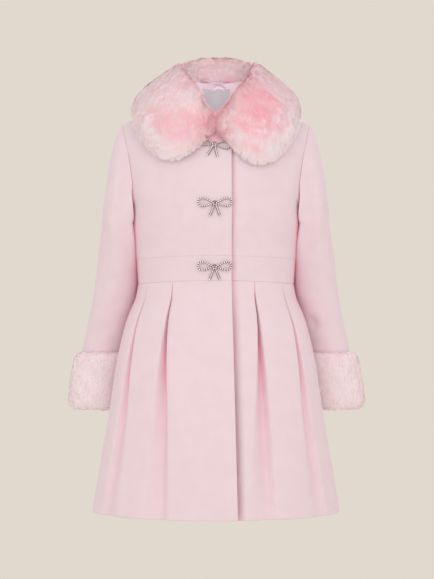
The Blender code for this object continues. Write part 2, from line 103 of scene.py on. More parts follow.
# %% [markdown]
# ## Felted wool
# The shell cloth is a wool blend that was woven, fulled and brushed until no thread shows. To the eye
# that is a matt, even pink with a faint bloom at the edges where the nap catches light. The nap is drawn
# a little coarser than life, because at this picture size a real fibre would vanish. In a fold the light
# goes from wool to wool several times and turns a deeper pink. That shade is painted into the colour:
# each panel keeps a value of how folded it is at every point, and the material mixes towards a deep pink
# by it.

# %% Wool material
CLOUD_MM, NAP_MM = 22, 1.6


def felted_wool():
    """Cloudy pink with painted deeper-pink shade in folds, a fine nap in the bump and sheen for its fibres.
    """
    made, tree, shader = blank("felted_wool")
    place = node(tree, "ShaderNodeTexCoord").outputs["Object"]
    cloud = node(tree, "ShaderNodeTexNoise", {"Vector": place, "Scale": per_metre(CLOUD_MM), "Detail": 3.0})
    tone = node(tree, "ShaderNodeValToRGB", {"Fac": cloud.outputs["Fac"]})
    stops(tone, {0.3: "#E6D0D6", 0.7: "#E9D4DA"})
    # Painted shade: each point's fold value mixes the tone towards this deep pink.
    fold = node(tree, "ShaderNodeAttribute", attribute_name="tint").outputs["Fac"]
    fold_shade_inputs = {0: fold, 6: tone.outputs["Color"], 7: linear("#FF92AE")}
    fold_shaded_tone = node(tree, "ShaderNodeMix", fold_shade_inputs, data_type="RGBA")
    nap = node(tree, "ShaderNodeTexNoise", {"Vector": place, "Scale": per_metre(NAP_MM), "Detail": 2.0})
    nap_rise = {"Height": nap.outputs["Fac"], "Strength": 0.22, "Distance": 0.5 * MM}
    fill(shader, {
        "Base Color": fold_shaded_tone.outputs[2], "Normal": node(tree, "ShaderNodeBump", nap_rise).outputs["Normal"],
        "Roughness": 0.92, "Specular IOR Level": 0.15, "Sheen Weight": 0.12, "Sheen Roughness": 0.45,
        "Sheen Tint": linear("#FFF1F3"),
    })
    return made


WOOL = felted_wool()
print("made", WOOL.name)

# %% [markdown]
# ## Satin lining
# A thin twill satin in lilac pink, smooth and softly shining. It shows inside the neck, the hem and the
# cuffs. A fine wave along one direction stands for the twill's ribs. Its threads are drawn 0.9 mm wide so
# that they can be seen. The neck label is woven from a finer satin in pale grey.

# %% Lining and label materials
def satin(name, dark, light, thread_mm):
    """Two close tones in diagonal ribs two threads apart, and a low roughness for the satin's shine."""
    made, tree, shader = blank(name)
    place = node(tree, "ShaderNodeTexCoord").outputs["Object"]
    turned = node(tree, "ShaderNodeMapping", {"Vector": place, "Rotation": (0.0, 0.7, 0.4)})
    # The wave node repeats every 0.314 of a unit at scale 1. Divided by 6.28, a repeat is two threads.
    wave = {"Vector": turned.outputs["Vector"], "Scale": per_metre(thread_mm) / 6.28}
    rib = node(tree, "ShaderNodeTexWave", {**wave, "Distortion": 0.6, "Detail": 1.0})
    tone = node(tree, "ShaderNodeValToRGB", {"Fac": rib.outputs["Fac"]})
    stops(tone, {0.0: dark, 1.0: light})
    rib_rise = {"Height": rib.outputs["Fac"], "Strength": 0.12, "Distance": 0.15 * MM}
    fill(shader, {
        "Base Color": tone.outputs["Color"], "Roughness": 0.42, "Specular IOR Level": 0.4,
        "Normal": node(tree, "ShaderNodeBump", rib_rise).outputs["Normal"],
    })
    return made


LINING_SATIN = satin("lining_satin", "#EBD3E2", "#F4E0EC", 0.9)
LABEL_SATIN = satin("label_satin", "#CBC6CE", "#D7D1D6", 0.7)
print("made", LINING_SATIN.name, LABEL_SATIN.name)

# %% [markdown]
# ## Sizes
# Lengths are in millimetres until a mesh is made. From the middle of the neck, x runs to the wearer's
# left, y to the back and z up. Short tables give the body's half width and depths at a few distances
# below the neck, and the armhole's outline at a few heights.

# %% Sizes and tables
# Thickness of the cloth and of the lining, then the gaps at a seam and under the lap.
CLOTH, LINING, SEAM, LAP_GAP = 2.4, 1.0, 0.02, 1.8
NECK_X, NECK_SIDE_Z, NECK_FRONT_DROP, NECK_BACK_RISE, NECK_BACK_PEAK = 52.0, 2.0, 47.0, 18.0, 10.0
SHOULDER_X, SHOULDER_Z, SHOULDER_SLOPE = 140.0, -42.0, 0.5
RIDGE_Y, RIDGE_RADIUS, NECK_RISE = 5.0, 60.0, 30.0
UNDERARM_Z, BAND_TOP_Z, BAND_BOTTOM_Z, BAND_RISE, HEM_Z = -169.5, -244.5, -280.5, 4.8, -616.5
LAP_X, LAP_HEM_X = 23.0, 31.5


def table(names, *rows):
    """Columns of a table by name."""
    return dict(zip(names.split(), np.array(rows, float).T))


BODY = table(
    "drop half_width front back",
    (-40, 152.0, 58, 50), (0, 151.0, 63, 70), (45, 149.0, 73, 88), (110, 138.5, 92, 96),
    (169.5, 130.5, 98, 95), (244.5, 119.3, 92, 88), (280.5, 116.4, 91, 88),
)
ARMHOLE = table(
    "z front_x back_x",
    (-169.5, 130.5, 130.5), (-160, 126.0, 128.5), (-147, 123.5, 127.5), (-111, 126.0, 130.0),
    (-80, 131.5, 134.0), (-42, 140.0, 140.0),
)
print("shoulders", 2 * SHOULDER_X, "mm wide, hem at", HEM_Z, "mm")

# %% [markdown]
# ## Curves and grids
# A cubic through a few numbers makes a smooth line of them. A surface is a grid of points in an array,
# and its normals come from the differences between neighbouring rows and columns.

# %% Curve and grid helpers
def smooth(at, knots, values):
    """Cubic through the knots: each knot's slope is the difference of its neighbours."""
    values = np.asarray(values, float)
    at = np.asarray(at, float)
    slope = np.gradient(values, knots, axis=0)
    k = np.clip(np.searchsorted(knots, at) - 1, 0, len(knots) - 2)
    span = knots[k + 1] - knots[k]
    t = np.clip((at - knots[k]) / span, 0, 1)
    more = (...,) + (None,) * (values.ndim - 1)
    t, span = t[more], span[more]
    start = (1 + 2 * t) * values[k] + t * span * slope[k]
    end = (3 - 2 * t) * values[k + 1] + (t - 1) * span * slope[k + 1]
    return (1 - t) ** 2 * start + t**2 * end


def eased(share):
    """A share from 0 to 1 with soft ends: 3 s squared minus 2 s cubed."""
    return share**2 * (3 - 2 * share)


def bell(offset, width):
    """Bell curve: e to the power of minus (offset / width) squared."""
    return np.exp(-((offset / width) ** 2))


def unit(vectors):
    """Vectors divided by their lengths."""
    return vectors / np.maximum(np.linalg.norm(vectors, axis=-1, keepdims=True), 1e-9)


def round_ring(rings):
    """Steps along closed rings: the next point minus the one before."""
    return np.roll(rings, -1, 1) - np.roll(rings, 1, 1)


def grid_normals(points, closed=False):
    """Unit normals of a grid: the cross product of its differences along columns and along rows."""
    across = round_ring(points) if closed else np.gradient(points, axis=1)
    return unit(np.cross(across, np.gradient(points, axis=0)))


def outward(points, centre, closed=False):
    """Grid normals turned away from a centre, which may differ from row to row."""
    normals = grid_normals(points, closed)
    return normals * np.sign((normals * (points - centre)).sum())


def rings_out(rings):
    """Normals of closed rings, turned away from the middle of each ring."""
    return outward(rings, rings.mean(1, keepdims=True), closed=True)


# %% [markdown]
# ## The figure under the cloth
# The body is a stack of ovals read from the table. Near the shoulder line the depth closes to a rounded
# ridge. Every panel is a patch of this one form, so that neighbours meet without fitting.

# %% The form
def body(name, z):
    """A column of the body table at height z."""
    return smooth(-z, BODY["drop"], BODY[name])


def ridge_z(x):
    """Height of the shoulder line at x: a straight slope, with a rise inside the neck."""
    neck = np.clip(1 - (x / NECK_X) ** 2, 0, 1) ** 2
    return SHOULDER_Z + (SHOULDER_X - np.abs(x)) * SHOULDER_SLOPE + NECK_RISE * neck


def form(x, z, face):
    """Point at (x, z): y is the depth times sqrt(1 - (x / half width)^2), closed near the shoulder."""
    below = ridge_z(x) - z
    closing = np.sqrt(1 - np.clip(1 - below / RIDGE_RADIUS, 0, 1) ** 2)
    oval = np.sqrt(np.clip(1 - (x / body("half_width", z)) ** 2, 0, 1))
    deep = body("back" if face > 0 else "front", z)
    return np.stack([x, face * deep * oval * closing + RIDGE_Y * (1 - closing), z], -1)


def form_normals(x, z, face, step=0.5):
    """Unit normals of the form: the cross product of small steps along x and down the surface."""
    below = np.maximum(ridge_z(x) - z, 0)
    ends = []
    for shift_x, shift in ((step, 0), (-step, 0), (0, step), (0, -step)):
        level = ridge_z(x + shift_x) - np.maximum(below + shift, 0)
        ends.append(form(x + shift_x, level, face))
    return unit(np.cross(ends[0] - ends[1], ends[2] - ends[3]) * face)


def neck_z(x, face):
    """Height of the neckline at x, deep at the front and raised at the back."""
    share = np.clip(np.abs(x) / NECK_X, 0, 1)
    if face < 0:
        return NECK_SIDE_Z - NECK_FRONT_DROP * (1 - share**1.35)
    return NECK_SIDE_Z + NECK_BACK_RISE * (1 - share**2) + NECK_BACK_PEAK * (1 - share**2) ** 3


def band_z(angle, level):
    """Height of a waist seam, which rises by cos squared towards the centre front."""
    return level + BAND_RISE * np.clip(np.cos(angle), 0, 1) ** 2


chest = body("half_width", UNDERARM_Z) + 0.5 * (body("front", UNDERARM_Z) + body("back", UNDERARM_Z))
print("chest girth about", round(np.pi * chest), "mm")

# %% [markdown]
# ## From a grid to a sheet of cloth
# A panel is a grid of points on the form. It could be thickened with Solidify, but its edges would then
# be square cuts, and wool edges are turned and pressed. So the outer and the inner skin are both worked
# out here: near an edge each curves towards the other by a quarter round, and they share the last row of
# points. The seams between panels come out as fine soft grooves.

# %% Cloth skins
FAR = 1e3
# Depth and width of an edge's rounding, and its rows: pressed flat at a seam, fuller where it is turned.
SEWN, TURNED = (0.3, 0.8, True), (1.0, 1.3, True)


def near_edges(steps, low=0.008, high=0.008):
    """Shares from 0 to 1, even in the middle, with three more close to each end for its rounding."""
    fine = np.array((0, 0.11, 0.4))
    return np.concatenate([fine * low, np.linspace(low, 1 - high, steps), 1 - fine[::-1] * high])


def quarter_round(distance, width):
    """1 at the edge, falling to 0 at the width along a quarter of an ellipse."""
    return 1 - np.sqrt(1 - np.clip(1 - distance / width, 0, 1) ** 2)


def edge_runs(points, axis):
    """Distances in mm along one axis of a grid, from its first and from its last line."""
    steps = np.linalg.norm(np.diff(points, axis=axis), axis=-1)
    run = np.insert(np.cumsum(steps, axis), 0, 0, axis)
    return run, np.take(run, [-1], axis) - run


def quads(index, closed=False, flip=False):
    """Four-cornered faces between a grid of point numbers, turned round if flip is set."""
    index = np.concatenate([index, index[:, :1]], 1) if closed else index
    corners = (index[:-1, :-1], index[:-1, 1:], index[1:, 1:], index[1:, :-1])
    return np.stack(corners[::-1] if flip else corners, -1).reshape(-1, 4)


def cloth_skins(points, normals, edges, wall=CLOTH, closed=False, facing=0.0):
    """Points, faces and stuff numbers of a panel: outer skin, inner skin, and edges where the two meet.

    edges are those of its first column, last column, first row and last row, or None where it goes on.
    normals say which way is out. facing is the width of the turned-in strip that is wool on the inside too.
    """
    drop, shut, far = np.zeros(points.shape[:2]), np.zeros(points.shape[:2]), np.full(points.shape[:2], FAR)
    for run, kind in zip((*edge_runs(points, 1), *edge_runs(points, 0)), edges):
        if kind is None:
            continue
        depth, width, where = kind
        bend = quarter_round(run, width) * where
        drop, shut = np.maximum(drop, depth * bend), np.maximum(shut, bend)
        far = np.minimum(far, np.where(where, run, FAR))
    outer = points - normals * drop[..., None]
    inner = points - normals * (wall * (1 - shut) + drop * shut)[..., None]
    index = np.arange(far.size).reshape(far.shape)
    inside = np.where(far < 1e-6, index, index + far.size)
    turned = (grid_normals(points, closed) * normals).sum() < 0
    outer_faces, inner_faces = quads(index, closed, turned), quads(inside, closed, not turned)
    lined = far.ravel()[inner_faces % far.size].mean(-1) > facing
    both = np.concatenate([outer.reshape(-1, 3), inner.reshape(-1, 3)])
    return both, np.concatenate([outer_faces, inner_faces]), np.concatenate([0 * lined, lined])


# %% [markdown]
# ## From skins to an object
# Every piece is made in the same way: its points and faces go into a mesh, points that meet are sewn into
# one, and the object rides on the imported model's body and stands for the node that it replaces. A wool
# panel also keeps how folded it is, as a value at each point that the material reads to paint deeper
# pink shade into its folds.

# %% Piece helpers
SEWN_WITHIN = 0.005


def settle(name, mesh):
    """Links a mesh as an object that rides on the body."""
    made = bpy.data.objects.new(name, mesh)
    bpy.context.scene.collection.objects.link(made)
    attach(made, "root")
    return made


def piece(name, parts, materials, replaces, tint=None):
    """An object from one or more (points, faces, stuff) parts in mm, sewn where their points meet."""
    shift = np.cumsum([0] + [len(part[0]) for part in parts[:-1]])
    points = np.concatenate([part[0] for part in parts]) * MM
    faces = [part[1] + start for part, start in zip(parts, shift)]
    used = np.unique(np.concatenate([face.ravel() for face in faces]))
    rows = [row for face in faces for row in np.searchsorted(used, face).tolist()]
    mesh = bpy.data.meshes.new(name)
    mesh.from_pydata(points[used].tolist(), [], rows)
    stuff = np.concatenate([part[2] for part in parts])
    mesh.polygons.foreach_set("material_index", stuff.astype(np.int32))
    if tint is not None:
        values = mesh.attributes.new("tint", "FLOAT", "POINT").data
        values.foreach_set("value", tint.astype(np.float32).ravel()[used])
    sew = bmesh.new()
    sew.from_mesh(mesh)
    bmesh.ops.remove_doubles(sew, verts=sew.verts, dist=SEWN_WITHIN * MM)
    sew.to_mesh(mesh)
    sew.free()
    mesh.shade_smooth()
    for material in materials:
        mesh.materials.append(material)
    made = settle(name, mesh)
    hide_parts(*replaces)
    print(name, len(mesh.polygons), "faces")
    return made


def wool_panel(packed, skins, folds):
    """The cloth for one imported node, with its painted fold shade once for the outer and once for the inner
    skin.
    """
    tint = np.concatenate([np.tile(fold.ravel(), 2) for fold in folds])
    return piece(packed + "_cloth", skins, (WOOL, LINING_SATIN), [packed], tint)


# %% [markdown]
# ## Creases
# Pressed wool hangs smoothly, with only a few long, soft folds where the arm and the waist pull it. Each
# is given one by one: a line between two points of the front or back view, with its own width and depth.
# The cloth sinks by a bell curve across the line and fades out towards its ends. A negative depth makes a
# ridge.

# %% Crease helpers
def creases(points, rows):
    """Inward depth at each point, summed over rows of x0, z0, x1, z1, width, depth and sideways bow."""
    depth = np.zeros(points.shape[:-1])
    for x0, z0, x1, z1, width, deep, bow in rows:
        run = np.array((x1 - x0, z1 - z0))
        length = np.hypot(*run)
        along = ((points[..., 0] - x0) * run[0] + (points[..., 2] - z0) * run[1]) / length**2
        aside = ((points[..., 0] - x0) * run[1] - (points[..., 2] - z0) * run[0]) / length
        aside = aside - bow * 4 * along * (1 - along)
        fade = np.clip(4 * along * (1 - along), 0, 1) ** 0.7
        depth += deep * bell(aside, width) * fade
    return depth


def pressed(points, depth, normals, fade_mm=14.0, closed=False):
    """Points moved inwards by a depth that fades out towards the seams, where stitches hold the cloth."""
    runs = edge_runs(points, 0) if closed else (*edge_runs(points, 0), *edge_runs(points, 1))
    share = np.clip(np.min(np.broadcast_arrays(*runs), 0) / fade_mm, 0, 1)
    return points - normals * (depth * eased(share))[..., None]


# %% [markdown]
# ## Bodice outline
# Each front and the back run from the waist seam to the shoulder seam. A panel's rows go from its inner
# edge, up the centre and round the neck, to its outer edge, up the side seam and round the armhole.

# %% Bodice outline
# Where a panel's rows, from 0 at the waist to 1 at the shoulder, reach the neck and the underarm.
NECK_SHARE, UNDERARM_SHARE = 0.5, 0.25


def inner_edge(q, start_x, face):
    """(x, z) up the centre line at start_x, then along the neckline to the shoulder seam."""
    up = np.clip(q / NECK_SHARE, 0, 1)
    along = np.clip((q - NECK_SHARE) / (1 - NECK_SHARE), 0, 1)
    x = start_x + (NECK_X - start_x) * along
    angle = np.arcsin(start_x / body("half_width", BAND_TOP_Z))
    seam = band_z(angle, BAND_TOP_Z) if face < 0 else BAND_TOP_Z
    top = neck_z(max(start_x, 0), face)
    z = np.where(q < NECK_SHARE, seam + SEAM + (top - seam - SEAM) * up, neck_z(np.maximum(x, 0), face))
    return x, z


def outer_edge(q, face):
    """(x, z) up the side seam to the underarm, then round the armhole to the shoulder point."""
    up = np.clip(q / UNDERARM_SHARE, 0, 1)
    along = np.clip((q - UNDERARM_SHARE) / (1 - UNDERARM_SHARE), 0, 1)
    seam_z = BAND_TOP_Z + SEAM + (UNDERARM_Z - BAND_TOP_Z - SEAM) * up
    hole_z = UNDERARM_Z + (SHOULDER_Z - UNDERARM_Z) * along**1.25
    hole_x = smooth(hole_z, ARMHOLE["z"], ARMHOLE["front_x" if face < 0 else "back_x"])
    z = np.where(q < UNDERARM_SHARE, seam_z, hole_z)
    return np.where(q < UNDERARM_SHARE, body("half_width", seam_z), hole_x), z


def bodice(q, columns, start_x, face):
    """A panel on the wearer's left: rows run from its inner to its outer edge by equal steps of angle."""
    x0, z0 = inner_edge(q, start_x, face)
    x1, z1 = outer_edge(q, face)
    angle0 = np.arcsin(np.clip(x0 / body("half_width", z0), -1, 1))
    angle1 = np.arcsin(np.clip(x1 / body("half_width", z1), -1, 1))
    angle = angle0[:, None] + (angle1 - angle0)[:, None] * columns
    share = (np.sin(angle) - np.sin(angle0)[:, None]) / (np.sin(angle1) - np.sin(angle0))[:, None]
    x = x0[:, None] + (x1 - x0)[:, None] * share
    z = z0[:, None] + (z1 - z0)[:, None] * share
    if face < 0:
        lift = band_z(angle, BAND_TOP_Z) + SEAM - z
        z = z + lift[0] * np.clip(1 - q / UNDERARM_SHARE, 0, 1)[:, None] ** 3
    points = form(np.clip(x, -body("half_width", z), body("half_width", z)), z, face)
    points[-1, :, 1] += face * 4 * SEAM
    points[q <= UNDERARM_SHARE, -1, 1] += face * SEAM
    return points


# %% [markdown]
# ## Bodice fronts
# The left front lies under the right one, so it sinks by a wall and a small gap and comes back to the
# surface just past the lap. The lap's own edge stands a little proud. Deeper pink shade is painted into
# the folds at the armhole seam, down the side behind the sleeve, under the collar's front ends and along
# the lap.

# %% Bodice fronts
# The first value is the strength of the painted shade on the under panel beside the lap's edge.
LAP_SHADE, LAP_RUN_MM, FRONT_FACING = 0.25, 6.0, 30
BODY_AXIS = np.array((0, 0, -150.0))
FRONT_EDGES = (TURNED, SEWN, SEWN, SEWN)
# Each crease's x0, z0, x1, z1, width, depth and bow.
FRONT_CREASES = (
    (-127, -98, -121, -196, 9, 2.2, 2), (-112, -104, -108, -168, 15, -1.4, 0),
    (-70, -120, -76, -236, 30, 1.0, 4), (-110, -238, -84, -214, 11, 1.2, 3),
    (128, -92, 122, -190, 9, 2.0, -2), (113, -100, 110, -160, 14, -1.2, 0),
    (74, -128, 80, -238, 32, 1.1, -4), (112, -236, 92, -205, 12, 1.3, -3), (58, -240, 66, -222, 9, 0.7, 1),
)


def lap_ease(points, edge_x, run):
    """1 under the lap, easing to 0 within the run past its edge."""
    return 1 - eased(np.clip((points[..., 0] - edge_x - 1.5) / run, 0, 1))


def under_lap(points, edge_x, depth, run):
    """Points moved in under the lap, easing back to the surface within the run past its edge."""
    inward = lap_ease(points, edge_x, run) * depth
    return points - outward(points, (0, 0, points[..., 2].mean())) * inward[..., None]


def lap_lift(past):
    """Outward lift of the lap's edge: 0.9 mm at the edge, gone 14 mm before it."""
    return 0.9 * np.clip(1 + past / 14, 0, 1) ** 2


def bodice_shade(points):
    """Painted fold shade on a bodice panel: the largest of its shade at the armhole seam, down the side and
    under the collar.
    """
    x, down = np.abs(points[..., 0]), -points[..., 2]
    seam = bell(edge_runs(points, 1)[1], 4) * np.interp(down, (80, 130, 170), (0.0, 0.12, 0.45))
    reached = np.interp(down, (160, 200, 235), (0.915, 0.925, 0.965))
    side = np.clip((x / body("half_width", -down) - reached) / 0.03, 0, 1)
    side = side * np.interp(down, (140, 165, 250), (0.0, 0.6, 0.6))
    ends = 0.6 * np.clip(1 - x / 30, 0, 1) * np.clip((82 - down) / 15, 0, 1) * (points[..., 1] < 0)
    return np.maximum(np.maximum(seam, side), ends)


lower_rows, upper_rows = near_edges(46, 0.006, 0.014)[:-3], near_edges(46, 0.014, 0.013)[3:]
rows_q = np.concatenate([NECK_SHARE * lower_rows, NECK_SHARE + (1 - NECK_SHARE) * upper_rows])
for packed, side in (("bodice_front_right", -1), ("bodice_front_left", 1)):
    plain = bodice(rows_q, near_edges(52), -LAP_X, -1) * (side, 1, 1)
    out = outward(plain, BODY_AXIS)
    front = pressed(plain, creases(plain, FRONT_CREASES), out)
    if side < 0:
        front = front + out * lap_lift(front[..., 0] - LAP_X)[..., None]
        fold = bodice_shade(front)
    else:
        behind_collar = np.clip((plain[..., 2] + 90) / 25, 0, 1)
        front = under_lap(front, LAP_X, CLOTH + LAP_GAP + 1.2 * behind_collar, LAP_RUN_MM)
        fold = np.maximum(bodice_shade(front), LAP_SHADE * lap_ease(front, LAP_X, LAP_RUN_MM / 2))
    panel = wool_panel(packed, [cloth_skins(front, out, FRONT_EDGES, facing=FRONT_FACING)], [fold])

# %% [markdown]
# ## Bodice back
# The back is cut in one, but it is worked out as two halves that mirror each other. They share the centre
# line, where no edge is rounded and the points of both are sewn into one.

# %% Bodice back
BACK_CREASES = (
    (-118, -96, -112, -190, 10, 2.0, 2), (120, -100, 113, -200, 10, 2.3, -2),
    (-46, -110, -40, -236, 26, 1.4, 3), (52, -126, 44, -238, 24, 1.2, -3),
    (-104, -238, -80, -212, 12, 1.2, 2), (108, -238, 86, -206, 12, 1.4, -2),
)


def square_centre(normals, q):
    """Normals with those on the centre line turned straight back, so that two halves meet there."""
    normals[q < NECK_SHARE, 0] = unit(normals[q < NECK_SHARE, 0] * (0, 1, 1))
    return normals


half = bodice(rows_q, near_edges(44), 0.0, 1)
halves = []
for side in (1, -1):
    shaped = half * (side, 1, 1)
    out = square_centre(outward(shaped, BODY_AXIS), rows_q)
    shaped = pressed(shaped, creases(shaped, BACK_CREASES), out)
    neck_edge = (*SEWN[:2], (rows_q >= NECK_SHARE)[:, None])
    halves.append(cloth_skins(shaped, out, (neck_edge, SEWN, SEWN, SEWN)))
# The back gets the same painted shade at its armhole seams and down its sides.
back = wool_panel("bodice_back", halves, [bodice_shade(half)] * 2)

# %% [markdown]
# ## Waistband
# A flat band, 36 mm deep, in three pieces between the bodice and the skirt. Its seams rise a little
# towards the centre front. It is the same patch of the form between two seam lines.

# %% Waistband pieces
BAND_AXIS = np.array((0, 0, -262.0))


def waistband(start, end, steps):
    """Rows between the two waist seams, at even angles round the form."""
    angle = start + (end - start) * near_edges(steps, 0.006, 0.006)
    top, low = band_z(angle, BAND_TOP_Z) - SEAM, band_z(angle, BAND_BOTTOM_Z) + SEAM
    z = top + (low - top) * near_edges(14, 0.033, 0.033)[:, None]
    x = body("half_width", z) * np.sin(angle)
    return np.where((np.cos(angle) >= 0)[:, None], form(x, z, -1), form(x, z, 1))


lap_turn = np.arcsin(LAP_X / body("half_width", np.array(BAND_TOP_Z)))
side_turn = np.pi / 2 - SEAM / 100
over = waistband(-side_turn, lap_turn, 60)
over = over + outward(over, BAND_AXIS) * lap_lift(over[..., 0] - LAP_X)[..., None]
sunk = under_lap(waistband(-lap_turn, side_turn, 64), LAP_X, CLOTH + LAP_GAP, LAP_RUN_MM)
behind = waistband(np.pi - side_turn, np.pi + side_turn, 84)
for packed, grid, edges, wide in (
    ("waistband_front_right", over, (SEWN, TURNED, SEWN, SEWN), 0.185),
    ("waistband_front_left", sunk, FRONT_EDGES, 0.185),
    ("waistband_back", behind, (SEWN,) * 4, 0.33),
):
    # Painted shade: deeper pink at the band's ends beside the sleeves, and on the left front beside the
    # lap's edge.
    fold = 0.6 * np.clip((np.abs(grid[..., 0]) - 111) / 7, 0, 1) ** 2
    if grid is sunk:
        fold = np.maximum(fold, LAP_SHADE * lap_ease(grid, LAP_X, LAP_RUN_MM / 2))
    band = wool_panel(packed, [cloth_skins(grid, outward(grid, BAND_AXIS), edges)], [fold])

# %% [markdown]
# ## Pleats
# Three skirt panels flare from the waist seam. Each pleat is pressed flat for the first few centimetres,
# so that it is only a slit, and then opens into a soft valley. A valley's depth is a cosine bell across
# its width, leaning to one side as the folded cloth does. The grid's columns follow the pleats down, so
# that even the narrow slits have enough points.

# %% Skirt form and pleats
SKIRT_LONG = 340.0
SKIRT = table(
    "drop half_width front back side_y back_power",
    (280.5, 116.4, 91, 88, 0, 1.0), (300, 119.8, 95, 93, -6, 1.1), (327, 130.5, 105, 102, -14, 1.3),
    (386, 145.6, 122, 116, -22, 1.45), (470, 158.5, 135, 128, -25, 1.5), (567, 175.3, 146, 138, -25, 1.5),
    (616.5, 184.0, 151, 144, -25, 1.5),
)
PLEATS = table(
    "waist_angle hem_angle hem_width depth lean",
    (-61, -57.5, 30, 9, -0.35), (-33, -29.5, 32, 14, 0.4), (29, 21.3, 30, 14, 0.4), (58, 54.5, 30, 9, 0.3),
    (119, 122, 32, 14, -0.3), (150, 152, 34, 15, 0.3), (210, 208, 34, 15, -0.25), (241, 238, 32, 14, 0.35),
)
PLEAT_RUN = table(
    "below width_share depth_share",
    (0, 0.06, 0.04), (16, 0.07, 0.18), (34, 0.10, 0.72), (70, 0.20, 0.95), (130, 0.50, 1.0),
    (220, 1.0, 0.8), (340, 1.5, 0.5),
)
WAIST_RADIUS, HEM_SPREAD, GAP_STEPS, PLEAT_STEPS = 108, 52, 16, 22
EDGE_SHARES = np.array((0.006, 0.022, 0.055))


def skirt_form(angle, z):
    """A level of the skirt without pleats: an oval whose back is flatter, its power growing downwards."""
    column = {name: smooth(-z, SKIRT["drop"], SKIRT[name]) for name in SKIRT}
    front = (-column["front"] - column["side_y"]) * np.clip(np.cos(angle), 0, 1)
    rear = (column["back"] - column["side_y"]) * np.clip(-np.cos(angle), 0, 1) ** column["back_power"]
    return np.stack([column["half_width"] * np.sin(angle), column["side_y"] + front + rear, z], -1)


def pleat_line(k, below):
    """Middle angle and half angle of pleat k at a distance below the waist seam."""
    share = np.clip(below / SKIRT_LONG, 0, 1)
    waist, hem = PLEATS["waist_angle"][k], PLEATS["hem_angle"][k]
    width = PLEATS["hem_width"][k] * smooth(below, PLEAT_RUN["below"], PLEAT_RUN["width_share"])
    return np.radians(waist + (hem - waist) * share), 0.5 * width / (WAIST_RADIUS + HEM_SPREAD * share)


def pleat_columns(below, start, end, chosen):
    """Column angles of each row: even steps across each plain strip and across each pleat."""
    marks = [start]
    for k in chosen:
        middle, half_angle = pleat_line(k, below)
        marks += [middle - half_angle, middle + half_angle]
    marks = np.stack([*marks, end], -1)
    steps = [PLEAT_STEPS if i % 2 else GAP_STEPS for i in range(2 * len(chosen) + 1)]
    shares = np.concatenate([i + np.arange(n) / n for i, n in enumerate(steps)] + [[len(steps)]])
    shares = np.sort(np.concatenate([shares, EDGE_SHARES, len(steps) - EDGE_SHARES[::-1]]))
    k = np.clip(shares.astype(int), 0, len(steps) - 1)
    return marks[:, k] + (marks[:, k + 1] - marks[:, k]) * (shares - k)


def skirt_panel(angle, below, chosen):
    """Skirt points, normals and painted fold shade: the plain form, moved in by each chosen pleat's leaning
    bell.
    """
    top = band_z(angle, BAND_BOTTOM_Z) - 2 * SEAM
    z = top + (HEM_Z - top) * below / SKIRT_LONG
    plain = skirt_form(angle, z)
    inward, fold = np.zeros_like(z), np.zeros_like(z)
    deep = smooth(below, PLEAT_RUN["below"], PLEAT_RUN["depth_share"])
    for k in chosen:
        middle, half_angle = pleat_line(k, below)
        off = np.clip((angle - middle) / half_angle, -1, 1)
        lean = PLEATS["lean"][k] * np.clip(below / 150, 0, 1)
        off = (off - lean) / np.where(off > lean, 1 - lean, 1 + lean)
        valley = np.cos(off * np.pi / 2) ** 2
        inward += PLEATS["depth"][k] * deep * valley
        # Painted shade: deeper pink in each pleat's valley, strongest near the waist.
        fold += valley * np.interp(below, (0, 100, 170, 340), (0.5, 0.45, 0.18, 0.03))
    out = unit(outward(plain, (0, -20, z.mean())) * (1, 1, 0.2))
    return plain - out * (1, 1, 0) * inward[..., None], out, fold


# %% [markdown]
# ## Skirt panels
# The right front's edge runs down in the same line as the bodice's, a little outwards, and the left front
# sinks under it by more and more towards the hem, where the cloth hangs free.

# %% Skirt panels
LAP_RUN = table("below recess", (0, 0.0), (20, 1.2), (50, 3.5), (120, 5.0), (340, 6.5))
SKIRT_LAP_MM, HEM_FACING = 10.0, 34
FRONT_SKIRT_CREASES = (
    (-100, -330, -128, -600, 16, 1.6, 3), (-70, -420, -78, -610, 18, -1.4, 0),
    (-34, -330, -30, -560, 26, 0.9, 3), (64, -360, 80, -605, 16, 1.3, -2),
    (96, -440, 116, -612, 14, -1.3, 0), (44, -380, 50, -600, 12, -0.9, 2),
    (-112, -296, -104, -350, 8, 0.9, 2), (108, -294, 112, -340, 8, 1.0, -2),
)
BACK_SKIRT_CREASES = (
    (-20, -340, -34, -600, 22, 1.5, 3), (30, -360, 26, -606, 24, 1.3, -3),
    (-96, -340, -118, -600, 15, 1.6, 2), (100, -352, 126, -608, 15, 1.5, -2),
    (-58, -420, -66, -612, 14, -1.2, 0), (62, -400, 70, -606, 14, -1.3, 0),
)


def lap_x(below):
    """Place of the lap's edge at a distance below the waist seam."""
    return LAP_X + (LAP_HEM_X - LAP_X) * below / SKIRT_LONG


